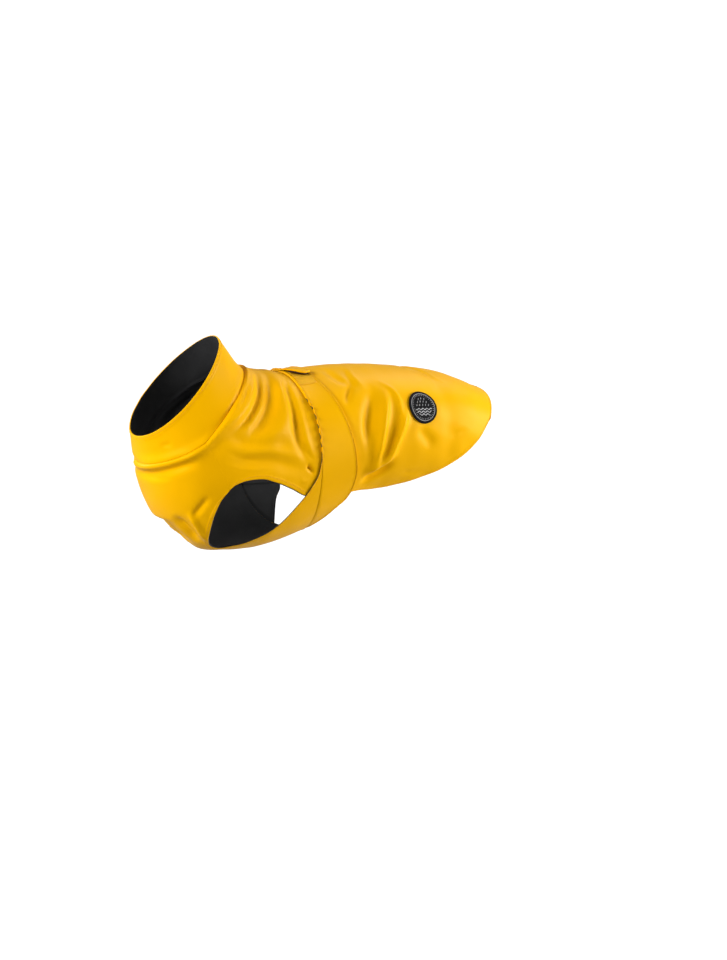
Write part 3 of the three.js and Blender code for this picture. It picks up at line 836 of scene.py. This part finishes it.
def new_material(name, roughness, **plain):
    material = bpy.data.materials.new(name)
    material.use_nodes = True
    shader = material.node_tree.nodes["Principled BSDF"]
    shader.inputs["Roughness"].default_value = roughness
    for socket, value in plain.items():
        shader.inputs[socket.replace("_", " ")].default_value = value
    return material, material.node_tree, shader


def place_group(tree, group, **values):
    node = tree.nodes.new("ShaderNodeGroup")
    node.node_tree = group
    for socket, value in values.items():
        node.inputs[socket].default_value = value
    return node


def place_grain(tree, **scales):
    """The grain, laid out in the piece's own space, and the node of its coordinates."""
    grain = place_group(tree, GRAIN, **scales)
    places = tree.nodes.new("ShaderNodeTexCoord")
    tree.links.new(places.outputs["Object"], grain.inputs["Vector"])
    return grain, places


def colour_between(tree, shader, grain, low, high):
    """Base colour: the coarse mask runs from the low colour to the high one."""
    ramp = tree.nodes.new("ShaderNodeValToRGB")
    for element, position, colour in zip(ramp.color_ramp.elements, RAMP, (low, high)):
        element.position = position
        element.color = (*colour, 1)
    tree.links.new(grain.outputs["Coarse mask"], ramp.inputs[0])
    tree.links.new(ramp.outputs[0], shader.inputs["Base Color"])


def bump(tree, shader, heights):
    """Bump nodes in a chain, one for each (height, strength, distance), into the shader's normal."""
    normal = None
    for height, strength, distance in heights:
        node = tree.nodes.new("ShaderNodeBump")
        node.inputs["Strength"].default_value = strength
        node.inputs["Distance"].default_value = distance
        tree.links.new(height, node.inputs["Height"])
        if normal is not None:
            tree.links.new(normal, node.inputs["Normal"])
        normal = node.outputs["Normal"]
    tree.links.new(normal, shader.inputs["Normal"])


def cloth_material(name, low, high, roughness, rough_range, thread, weave_depth, coarse, fine, **plain):
    """Woven cloth: weave and fine grain as relief, coarse grain in the colour, fine grain in the gloss."""
    material, tree, shader = new_material(name, roughness, **plain)
    weave = place_group(tree, WEAVE, Thread=thread)
    grain, places = place_grain(tree, Coarse=coarse, Fine=fine)
    tree.links.new(places.outputs["UV"], weave.inputs["UV"])
    colour_between(tree, shader, grain, low, high)
    rough = math_node(tree, "MULTIPLY", grain.outputs["Fine mask"], rough_range)
    tree.links.new(math_node(tree, "ADD", rough, roughness - rough_range / 2), shader.inputs["Roughness"])
    bump(tree, shader, [
        (grain.outputs["Fine mask"], *CLOTH_GRAIN_BUMP),
        (weave.outputs["Height"], WEAVE_BUMP, weave_depth),
    ])
    return material


def rubber_material(name, low, high, roughness, **plain):
    """Soft rubber: coarse grain in the colour and fine grain as relief."""
    material, tree, shader = new_material(name, roughness, **plain)
    grain, _ = place_grain(tree, **RUBBER_GRAIN)
    colour_between(tree, shader, grain, low, high)
    bump(tree, shader, [(grain.outputs["Fine mask"], *RUBBER_GRAIN_BUMP)])
    return material


COATED = cloth_material(
    "coated_yellow_cloth", (0.88, 0.435, 0.0), (0.93, 0.465, 0.0), roughness=0.38, rough_range=0.12,
    thread=0.00055, weave_depth=0.00006, coarse=16.0, fine=420.0,
    Specular_IOR_Level=0.16, IOR=1.35, Specular_Tint=(1.0, 0.8, 0.1, 1.0),
)
LINING = cloth_material(
    "dark_lining", (0.012, 0.012, 0.013), (0.022, 0.022, 0.023), roughness=0.85, rough_range=0.1,
    thread=0.0009, weave_depth=0.00012, coarse=30.0, fine=300.0,
)
TAPE_PILE = cloth_material(
    "loop_tape", (0.80, 0.41, 0.01), (0.90, 0.47, 0.02), roughness=0.9, rough_range=0.1,
    thread=0.0008, weave_depth=0.0003, coarse=120.0, fine=900.0, Specular_IOR_Level=0.15,
)
# Partly painted shade: the hook tape's dark red-brown also stands in for the shadow in the gap under the
# lapped lip.
HOOK_TAPE_AND_SHADE = cloth_material(
    "hook_tape_and_painted_shade", (0.035, 0.012, 0.004), (0.06, 0.02, 0.006), roughness=0.8, rough_range=0.1,
    thread=0.0008, weave_depth=0.0003, coarse=120.0, fine=900.0,
)
THREAD = cloth_material(
    "yellow_thread", (0.80, 0.36, 0.0), (0.88, 0.41, 0.0), roughness=0.6, rough_range=0.1,
    thread=0.0003, weave_depth=0.00004, coarse=90.0, fine=700.0,
)
BLACK_RUBBER = rubber_material(
    "black_rubber", (0.004, 0.004, 0.005), (0.008, 0.008, 0.009), roughness=0.7, Specular_IOR_Level=0.05)
PALE_RUBBER = rubber_material("pale_rubber", (0.40, 0.40, 0.41), (0.50, 0.50, 0.51), roughness=0.55)
print("materials", [material.name for material in bpy.data.materials])

# %% [markdown]
# Stitches are small thread lozenges laid end to end along a line on the cloth, all of one piece in one mesh.
# Each is a six-sided spindle: rings of six points whose radius swells from the ends to the middle.

# %% Stitches
STITCH_PITCH = 3.4
STITCH_LENGTH = 2.7
STITCH_RADIUS = 0.28
STITCH_SIDES = 6
STITCH_PROUD = 0.35
STITCH_AIM = 0.8
STITCH_RINGS = np.array([
    # share of the length, share of the radius
    (-0.5, 0.25), (-0.3, 0.85), (0.0, 1.0), (0.3, 0.85), (0.5, 0.25),
])


def at_lengths(keys, knots, vectors):
    """Vectors at given lengths along a line, straight between its knots."""
    return np.stack([np.interp(keys, knots, vectors[:, k]) for k in range(3)], -1)


def stitches(name, lines):
    """One mesh with a stitch every STITCH_PITCH along each (points, normals) line. Each stitch points from a
    place STITCH_AIM behind it to one as far ahead."""
    centres, forwards, ups = [], [], []
    for points, normals in lines:
        knots = length_along(points)
        keys = np.arange(STITCH_PITCH / 2, knots[-1], STITCH_PITCH)
        ahead = at_lengths(keys + STITCH_AIM, knots, points)
        behind = at_lengths(keys - STITCH_AIM, knots, points)
        up = unit(at_lengths(keys, knots, normals))
        centres.append(at_lengths(keys, knots, points) + up * STITCH_RADIUS * STITCH_PROUD)
        forwards.append(unit(ahead - behind))
        ups.append(up)
    centre, forward, up = (np.vstack(part) for part in (centres, forwards, ups))
    side = unit(np.cross(forward, up))
    turn = np.arange(STITCH_SIDES)[:, None] * 2 * np.pi / STITCH_SIDES
    ring = STITCH_RADIUS * (np.cos(turn) * side[:, None] + np.sin(turn) * up[:, None])
    rings = [
        centre[:, None] + forward[:, None] * STITCH_LENGTH * place + ring * swell
        for place, swell in STITCH_RINGS
    ]
    vertices = np.stack(rings, 1)
    count = vertices.shape[1] * STITCH_SIDES
    face = grid_faces(len(STITCH_RINGS), STITCH_SIDES, True)
    first = np.array([[0, 5, 4, 3], [0, 3, 2, 1]])
    last = np.array([[0, 1, 2, 3], [0, 3, 4, 5]]) + count - STITCH_SIDES
    one = np.vstack([face[:, ::-1], first[:, ::-1], last[:, ::-1]])
    faces = (np.arange(len(centre))[:, None, None] * count + one[None]).reshape(-1, 4)
    vertices = vertices.reshape(-1, 3)
    finish_piece(add_object(name, vertices, faces, uv=np.zeros((len(vertices), 2))), "coated_cloth", THREAD)
    print(name, len(centre), "stitches")


print("a stitch every", STITCH_PITCH, "mm")

# %% [markdown]
# Now the pieces. Each takes its grid of places, adds its height over the form, the folds and the relief of
# its edges, and becomes a shell. A row of stitches follows each hem at the stitch inset. Where two pieces
# are sewn together, one reaches a little into the other, as a seam allowance does.

# %% Cloth pieces
# Painted shade: where the wing's front edge gapes, its rim turns to dark lining and reaches out a little, in
# place of the shadow in the gap.
PAINTED_SHADE_PEEK = 1.2
PAINTED_SHADE_GAPE = 0.09


def make_cloth(name, station, angle, lift, edges, closed=False, peek=None, gape=None):
    """Outer and inner grid of a piece: form + normal * (cloth height + lift + relief), and CLOTH less inside.
    The inner grid reaches peek further than the outer one, by row, at the last row and at both ends of the
    rows. Where the front edge gapes, 0 to 1 by row, the inner grid reaches out and the rim takes the dark
    lining: painted shade, standing in for the shadow in the gap."""
    points = form_point(station, angle)
    normal = form_normal(station, angle)
    height = cloth_height(station, angle) + lift
    relief = edge_relief(points, *edges)
    outer = points + normal * (height + relief)[..., None]
    inner = points + normal * (height - CLOTH)[..., None]
    if peek is not None:
        inner[-1] += peek[-1] * unit(outer[-1] - outer[-2])
        for end, beside in ((0, 1), (-1, -2)):
            inner[:, end] += peek * unit(outer[:, end] - outer[:, beside])
    if gape is not None:
        inner[:, 0] += (PAINTED_SHADE_PEEK * gape)[:, None] * unit(outer[:, 0] - outer[:, 1])
    # painted shade: the gaping rows of the front rim take the dark lining in place of the gap's shadow
    painted_shade_front = None if gape is None else gape > PAINTED_SHADE_GAPE
    return cloth_shell(name, outer, inner, closed, 0 if peek is None else 1, painted_shade_front), outer, normal


def dress(piece, node):
    finish_piece(piece, "coated_cloth", COATED, LINING)
    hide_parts(node)


def column_at(distance, offset):
    """Index of the grid line that lies nearest to an offset from its edge, by the middle of that edge."""
    return int(np.argmin(np.abs(np.median(distance, axis=0) - offset)))


def side_lines(outer, normal, rows):
    """Stitch lines along both sides of a piece, over some of its rows."""
    lines = []
    for distance in edge_distances(outer)[2:]:
        j = column_at(distance[rows], STITCH_INSET)
        lines.append((outer[rows, j], normal[rows, j]))
    return lines


def end_line(outer, normal, at_end, offset=STITCH_INSET):
    """Stitch line along the last row of a piece, or along its first one."""
    i = column_at(edge_distances(outer)[int(at_end)].T, offset)
    return outer[i], normal[i]


def make_panel(node, tables, hemmed, middle_angle, rise=None, peek_stations=None):
    """A panel whose sides are hemmed (1) or sewn (0) by table and whose last row is hemmed. It rises off
    the form between two stations and its lining stops peeking out between two others, where given."""
    station, angle, counts = panel_grid(tables, middle_angle)
    hem = np.repeat(hemmed, counts)[:, None]
    lift = 0.0 if rise is None else STRAP_LIFT * smooth_step(*rise, station)
    peek = LINING_PEEK * hem
    if peek_stations is not None:
        peek = peek * smooth_step(*peek_stations, station[:, :1])
    edges = ("seam", "hem", hem, hem)
    panel, outer, normal = make_cloth(node + "_cloth", station, angle, lift, edges, peek=peek)
    dress(panel, node)
    hem_rows = slice(counts[0], counts[0] + counts[1])
    lines = side_lines(outer, normal, hem_rows) + [end_line(outer, normal, True)]
    stitches(node.replace("panel", "hem_stitches"), lines)


print("lining peeks out", LINING_PEEK, "mm under the panels' hems")

# %% [markdown]
# The back panel lies over the back and both sides. Its first rows end in the shoulder seams, and from there
# on its sides are hemmed, first round the upper half of the armholes and then along the lower edge to the
# rear.

# %% Back panel
back_tables = [
    [seam + middle for seam, middle in zip(SHOULDER_SEAM, BACK_AT_SHOULDER)],
    BACK_LOWER_EDGE,
]
make_panel("back_panel", back_tables, [0.0, 1.0], 0.0)

# %% [markdown]
# The underside panel covers the chest, runs as a strip between the armholes and widens into the belly part,
# whose slanted sides the wings are sewn to. There it rises to the height of the strap.

# %% Underside panel
BELLY_RISE_STATIONS = (282, 314)
BELLY_PEEK_STATIONS = (300, 250)
SEAM_TUCK_ANGLE = 0.4
WING_SEAM_ROWS = 8
belly_front_middle = UNDERSIDE_EDGE[-1][2]
seam_shares = np.linspace(0, 1, WING_SEAM_ROWS)
wing_seam = WING_FRONT_CORNER + (WING_REAR_CORNER - WING_FRONT_CORNER) * seam_shares[:, None]
belly_middles = belly_front_middle + (BELLY_REAR_MIDDLE - belly_front_middle) * seam_shares
underside_tables = [
    [[s, a - SEAM_TUCK_ANGLE] + middle for (s, a), middle in zip(SHOULDER_SEAM, CHEST_AT_SHOULDER)],
    UNDERSIDE_EDGE,
    np.column_stack([wing_seam, belly_middles, np.zeros(WING_SEAM_ROWS)]),
]
make_panel("underside_panel", underside_tables, [0.0, 1.0, 0.0], 180.0,
           BELLY_RISE_STATIONS, BELLY_PEEK_STATIONS)

# %% [markdown]
# The collar is one closed band, hemmed at its top edge and sewn to both panels at its lower one.

# %% Collar
COLLAR_COLUMNS = 224
COLLAR_HEIGHT = 54.0
SEAM_TUCK = 0.8
collar_angles = np.arange(COLLAR_COLUMNS) * 360 / COLLAR_COLUMNS
collar_shares = spots(COLLAR_HEIGHT, GRID_STEP, fine_start=True) / COLLAR_HEIGHT
collar_station = collar_shares[:, None] * (collar_seam(collar_angles) + SEAM_TUCK)
collar_angle = np.broadcast_to(collar_angles, collar_station.shape)
collar, collar_outer, collar_normal = make_cloth(
    "collar_cloth", collar_station, collar_angle, 0.0, ("hem", "seam", None, None), closed=True)
dress(collar, "collar")
collar_line = end_line(collar_outer, collar_normal, False)
stitches("collar_stitches", [tuple(np.vstack([part, part[:1]]) for part in collar_line)])

# %% [markdown]
# The strap's two wings grow out of the belly and meet on the back. Their long edges roll down onto what lies
# under them, and the front one touches it in short waves, which leaves a row of small gaps. Their rim is made
# of dark lining as painted shade, standing in for the shadow in the gaps. The right wing's end laps over the
# left one's and the tapes, and stands up a little in the middle of its lip.

# %% Wings
WING_STEP_SHARE = 0.8
WING_SHARES = 20
STRAP_ROLL_REACH = 8.0
STRAP_BELOW = 0.1
CONTACT_WAVE = 2.6
CONTACT_WAVE_LENGTH = 13
CONTACT_WAVE_REACH = 5
GAPE_ANGLES = (38, 50, 84, 92)
EDGE_BEAD = 1.2
EDGE_BEAD_PLACE = 1.7
EDGE_BEAD_WIDTH = 1.1
LIP_STATIONS = (284, 354)
LIP_RISE_ANGLES = (0, 16)
CLIMB_ANGLES = (-26, -8)
OVERLAP_ANGLES = (-10, -5)


def wing_grid(rows, side):
    """Rows across the wing from its front edge to its rear edge, laid out along it from the belly seam."""
    rows = np.array(rows, float)
    knots = edge_knots(rows)
    keys = spots(knots[-1], GRID_STEP * WING_STEP_SHARE, fine_end=True)
    keys[0] -= SEAM_TUCK
    front_station, front_angle, rear_station, rear_angle, bow = smooth_table(knots, rows, keys).T[:, :, None]
    across = form_point(front_station, front_angle) - form_point(rear_station, rear_angle)
    hem = HEM_OFFSETS / np.linalg.norm(across, axis=-1)
    middle = np.linspace(0, 1, WING_SHARES)[1:-1]
    inner = hem[:, -1:] + (1 - 2 * hem[:, -1:]) * middle
    share = np.hstack([hem, inner, 1 - hem[:, ::-1]])
    angle = front_angle + (rear_angle - front_angle) * share + bow * 4 * share * (1 - share)
    return front_station + (rear_station - front_station) * share, side * angle


def front_gape(station, angle):
    """How far the front edge stands open, 0 to 1: narrow crests of a slow wave along it, on the side only."""
    start, full, waning, end = GAPE_ANGLES
    down = edge_distances(form_point(station, angle))[0]
    wave = 0.5 + 0.5 * np.sin(2 * np.pi * down / CONTACT_WAVE_LENGTH + 0.8 * np.sin(down / 17))
    return wave**3 * smooth_step(start, full, np.abs(angle)) * smooth_step(end, waning, np.abs(angle))


def rolled(station, angle, lift, under):
    """The lift, brought down at both long edges until the cloth's inner face lies STRAP_BELOW over what is
    under, with a bead along both where the hem is turned in."""
    sides = edge_distances(form_point(station, angle))[2:]
    near = sum(smooth_step(STRAP_ROLL_REACH, 0, distance) for distance in sides)
    touch = CONTACT_WAVE * front_gape(station, angle) * np.exp(-((sides[0] / CONTACT_WAVE_REACH) ** 2))
    beads = sum(np.exp(-(((distance - EDGE_BEAD_PLACE) / EDGE_BEAD_WIDTH) ** 2)) for distance in sides)
    return lift - (lift - under - CLOTH - STRAP_BELOW) * near + touch + EDGE_BEAD * beads


def left_wing_lift(station, angle):
    return rolled(station, angle, STRAP_LIFT, 0.0)


def lip_rise(station, angle):
    """The lapped end's lip: highest halfway between its corners, nothing away from the end."""
    across = np.clip((station - LIP_STATIONS[0]) / (LIP_STATIONS[1] - LIP_STATIONS[0]), 0, 1)
    return LIP_RISE * smooth_step(*LIP_RISE_ANGLES, angle) * np.sin(np.pi * across) ** 0.8


def right_wing_lift(station, angle):
    """The right wing climbs over the left wing's end and its tapes, and its lip stands up in the middle."""
    climb = (OVERLAP_LIFT - STRAP_LIFT) * smooth_step(*CLIMB_ANGLES, angle)
    under = STRAP_LIFT * smooth_step(*OVERLAP_ANGLES, angle)
    return rolled(station, angle, STRAP_LIFT + climb, under) + lip_rise(station, angle)


def make_wing(node, end_rows, side, lift):
    """A wing from its belly seam to its end, its two long edges and its end hemmed."""
    station, angle = wing_grid(WING_ROWS + end_rows, side)
    hemmed = np.ones((len(station), 1))
    edges = ("lapped", "hem", hemmed, hemmed)
    gape = front_gape(station, angle)[:, 0]
    wing, outer, normal = make_cloth(node + "_cloth", station, angle, lift(station, angle), edges, gape=gape)
    dress(wing, node)
    stitches(node + "_stitches", side_lines(outer, normal, slice(None)) + [end_line(outer, normal, True)])


make_wing("wing_left", WING_LEFT_END, 1, left_wing_lift)
make_wing("wing_right", WING_RIGHT_END, -1, right_wing_lift)

# %% [markdown]
# The closure is a hook and loop tape. The loop side is sewn on the left wing's end and shows in front of the
# lapped lip, as a slightly paler, fuzzy strip with a row of stitches at its lower edge. The hook side is
# sewn inside the lip and follows it up, so that its hooks fill most of the gap under the lip. Their dark
# red-brown is partly the tape's own colour and partly painted shade, standing in for the shadow under the
# lip.

# %% Fastener tapes
TAPE_ANGLES = (-2, 31)
TAPE_MARGIN = 6
TAPE_COLUMNS = 44
LOOP_ROWS = 48
HOOK_ROWS = 40
TAPE_ROUND = 0.4
TAPE_ROUND_WIDTH = 0.8
TAPE_STITCH_INSET = 2.0
TAPE_STITCH_SINK = 0.25
TAPE_GROOVE = 0.6
TAPE_GAP = 0.05
PILE = 0.12
HOOKS = 2.6
LIP_END = (5, 17, 9)
HOOK_INSET_ANGLE = 1.2


def make_tape(node, station, angle, top, bottom, material):
    """Tape between two heights over the form: a pile of short waves, a round edge and a stitched groove."""
    points = form_point(station, angle)
    normal = form_normal(station, angle)
    ground = cloth_height(station, angle)
    x, y, _ = np.moveaxis(points, -1, 0)
    edge = np.minimum.reduce(edge_distances(points))
    pile = PILE * np.sin(x * 4.1 + 2 * np.sin(y * 2.3)) * np.sin(y * 3.7)
    lip = TAPE_ROUND * (1 - np.clip(edge / TAPE_ROUND_WIDTH, 0, 1)) ** 2
    groove = TAPE_STITCH_SINK * np.exp(-(((edge - TAPE_STITCH_INSET) / TAPE_GROOVE) ** 2))
    outer = points + normal * (ground + top + (pile - lip - groove))[..., None]
    inner = points + normal * (ground + bottom)[..., None]
    tape = cloth_shell(node + "_tape", outer, inner)
    finish_piece(tape, "fastener_tape", material, material)
    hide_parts(node)
    return outer, normal


tape_front = WING_ROWS[-2][0] + TAPE_MARGIN
tape_rear = WING_ROWS[-1][2] - TAPE_MARGIN
tape_stations = np.linspace(tape_front, tape_rear, TAPE_COLUMNS)
loop_station, loop_angle = np.meshgrid(tape_stations, np.linspace(*TAPE_ANGLES, LOOP_ROWS))
loop_outer, loop_normal = make_tape(
    "fastener_loop", loop_station, loop_angle, LOOP_LIFT, LOOP_LIFT - TAPE, TAPE_PILE)
stitches("fastener_stitches", [end_line(loop_outer, loop_normal, True, TAPE_STITCH_INSET)])

lip_share = (tape_stations - LIP_STATIONS[0]) / (LIP_STATIONS[1] - LIP_STATIONS[0])
front_end, rear_end, end_bow = LIP_END
lip_end = front_end + (rear_end - front_end) * lip_share + end_bow * 4 * lip_share * (1 - lip_share)
hook_share = np.linspace(0, 1, HOOK_ROWS)[:, None]
hook_angle = TAPE_ANGLES[0] + (lip_end - HOOK_INSET_ANGLE - TAPE_ANGLES[0]) * hook_share
hook_station = np.broadcast_to(tape_stations, hook_angle.shape)
hook_top = OVERLAP_LIFT - CLOTH - TAPE_GAP + lip_rise(hook_station, hook_angle)
hook_bottom = np.maximum(LOOP_LIFT + TAPE_GAP, hook_top - HOOKS)
# painted shade: the dark hook tape fills the gap under the lip where its shadow falls
make_tape("fastener_hook", hook_station, hook_angle, hook_top, hook_bottom, HOOK_TAPE_AND_SHADE)

# %% [markdown]
# The badge is a disc of soft black rubber with a raised rim, bent to the coat's side. Places on it are in
# its own millimetres, x towards the rear hem and y towards the middle of the back.

# %% Badge disc
BADGE_STATION = 479.0
BADGE_ANGLE = 69.0
BADGE_FACE = 1.6
BADGE_PROFILE = np.array([
    # radius, height
    (0.3, -0.3), (12.0, -0.3), (22.8, -0.3), (23.3, 0.0), (23.5, 0.5), (23.5, 1.3), (23.3, 1.8), (22.8, 2.05),
    (21.8, 2.05), (21.3, 1.9), (21.0, 1.65), (20.7, 1.6), (16.0, 1.6), (8.0, 1.6), (0.3, 1.6),
])
BADGE_SIDES = 96
BADGE_LIFT = 0.4
badge_stations_per_mm = 2 / np.linalg.norm(
    form_point(BADGE_STATION + 1, BADGE_ANGLE) - form_point(BADGE_STATION - 1, BADGE_ANGLE))
badge_degrees_per_mm = 2 / np.linalg.norm(
    form_point(BADGE_STATION, BADGE_ANGLE + 1) - form_point(BADGE_STATION, BADGE_ANGLE - 1))


def ways(turns):
    """Unit steps on the badge at these angles."""
    return np.column_stack([np.cos(turns), np.sin(turns)])


def on_badge(rings):
    """Places in the frame of (x, y, height) on the badge, heights counted from the cloth under it."""
    station = BADGE_STATION + rings[..., 0] * badge_stations_per_mm
    angle = BADGE_ANGLE - rings[..., 1] * badge_degrees_per_mm
    height = fold_height(form_point(station, angle), FOLDS) + BADGE_LIFT + rings[..., 2]
    return form_point(station, angle) + form_normal(station, angle) * height[..., None]


def stacked(rings):
    """Vertices and quads of a stack of rings with an even number of points, capped at both ends."""
    count, sides = rings.shape[:2]
    faces = grid_faces(count, sides, True)
    odd = np.arange(1, sides - 1, 2)
    cap = np.stack([np.zeros_like(odd), odd, odd + 1, odd + 2], -1)
    return rings.reshape(-1, 3), np.vstack([faces[:, ::-1], cap, cap[:, ::-1] + (count - 1) * sides])


def add_rubber(name, stacks, material):
    """One piece from several (vertices, faces)."""
    starts = np.cumsum([0] + [len(vertices) for vertices, _ in stacks[:-1]])
    vertices = np.vstack([vertices for vertices, _ in stacks])
    faces = np.vstack([faces + start for (_, faces), start in zip(stacks, starts)])
    piece = add_object(name, vertices, faces)
    finish_piece(piece, "badge_rubber", material)
    print(name, len(faces) * 2, "triangles")
    return piece


badge_way = ways(np.arange(BADGE_SIDES) * 2 * np.pi / BADGE_SIDES)
badge_rings = np.stack([
    np.column_stack([radius * badge_way, np.full(BADGE_SIDES, height)])
    for radius, height in BADGE_PROFILE
])
badge = add_rubber("badge_disc", [stacked(on_badge(badge_rings))], BLACK_RUBBER)
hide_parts("badge")

# %% [markdown]
# The badge's face carries a plain design of pale rubber: a ring, a circle of ticks, and slanting rain over
# three waves. Every part of it is a raised stroke along a path.

# %% Badge design
MARK_RISE = 0.35
MARK_SIDES = 8
TIP_SHARE = 0.3
RING_RADIUS = 19.6
TICK_RADII = (16.4, 17.2, 18.0)
TICKS = 36
LINE_WIDTH = 0.7
WAVE_LEVELS = (-3.4, -7.2, -11.0)
WAVE_RADIUS = 14.6
WAVE_LENGTH = 7.0
WAVE_WIDTH = 1.1
RAIN = [
    (-5.5, 11.2), (-0.5, 12.4), (4.5, 11.2), (-8.6, 6.6), (-3.4, 7.4), (1.8, 7.4), (7.0, 6.6),
    (-10.8, 2.2), (-5.8, 2.4), (-0.6, 2.4), (4.6, 2.4), (9.8, 2.2),
]
RAIN_REACH = (0.7, 1.5)
RAIN_WIDTH = 1.0


def band(path, width):
    """A raised stroke along a path: sections of eight points, its two ends drawn to a small tip."""
    path = np.asarray(path, float)
    ahead = unit(np.gradient(path, axis=0))
    side = np.column_stack([-ahead[:, 1], ahead[:, 0]])
    swell = np.ones(len(path))
    swell[[0, -1]] = TIP_SHARE
    turns = np.arange(MARK_SIDES) * 2 * np.pi / MARK_SIDES
    across = np.cos(turns)[None, :, None] * side[:, None] * (width / 2 * swell)[:, None, None]
    up = BADGE_FACE + MARK_RISE * np.sin(turns)[None, :] * swell[:, None]
    return np.concatenate([path[:, None] + across, up[..., None]], -1)


def wave(level):
    """A wavy stroke at a height on the badge, as long as the circle of ticks leaves room for."""
    half = np.sqrt(WAVE_RADIUS**2 - level**2)
    along = np.linspace(-half, half, 60)
    return band(np.column_stack([along, level + np.sin(2 * np.pi * (along / WAVE_LENGTH + 0.5))]), WAVE_WIDTH)


rain_way = np.outer((-1, 0, 1), RAIN_REACH)
marks = [band(RING_RADIUS * ways(np.radians(np.linspace(0, 360, 97))), LINE_WIDTH)]
marks += [band(np.outer(TICK_RADII, way), LINE_WIDTH) for way in ways(np.arange(TICKS) * 2 * np.pi / TICKS)]
marks += [wave(level) for level in WAVE_LEVELS]
marks += [band(drop + rain_way, RAIN_WIDTH) for drop in RAIN]
add_rubber("badge_design", [stacked(on_badge(part)) for part in marks], PALE_RUBBER)

# %% [markdown]
# Last come the sizes, which show whether the dressed coat still has the box of its solids.

# %% Sizes
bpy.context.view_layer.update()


def plain(box):
    return [[float(value) for value in corner] for corner in box]
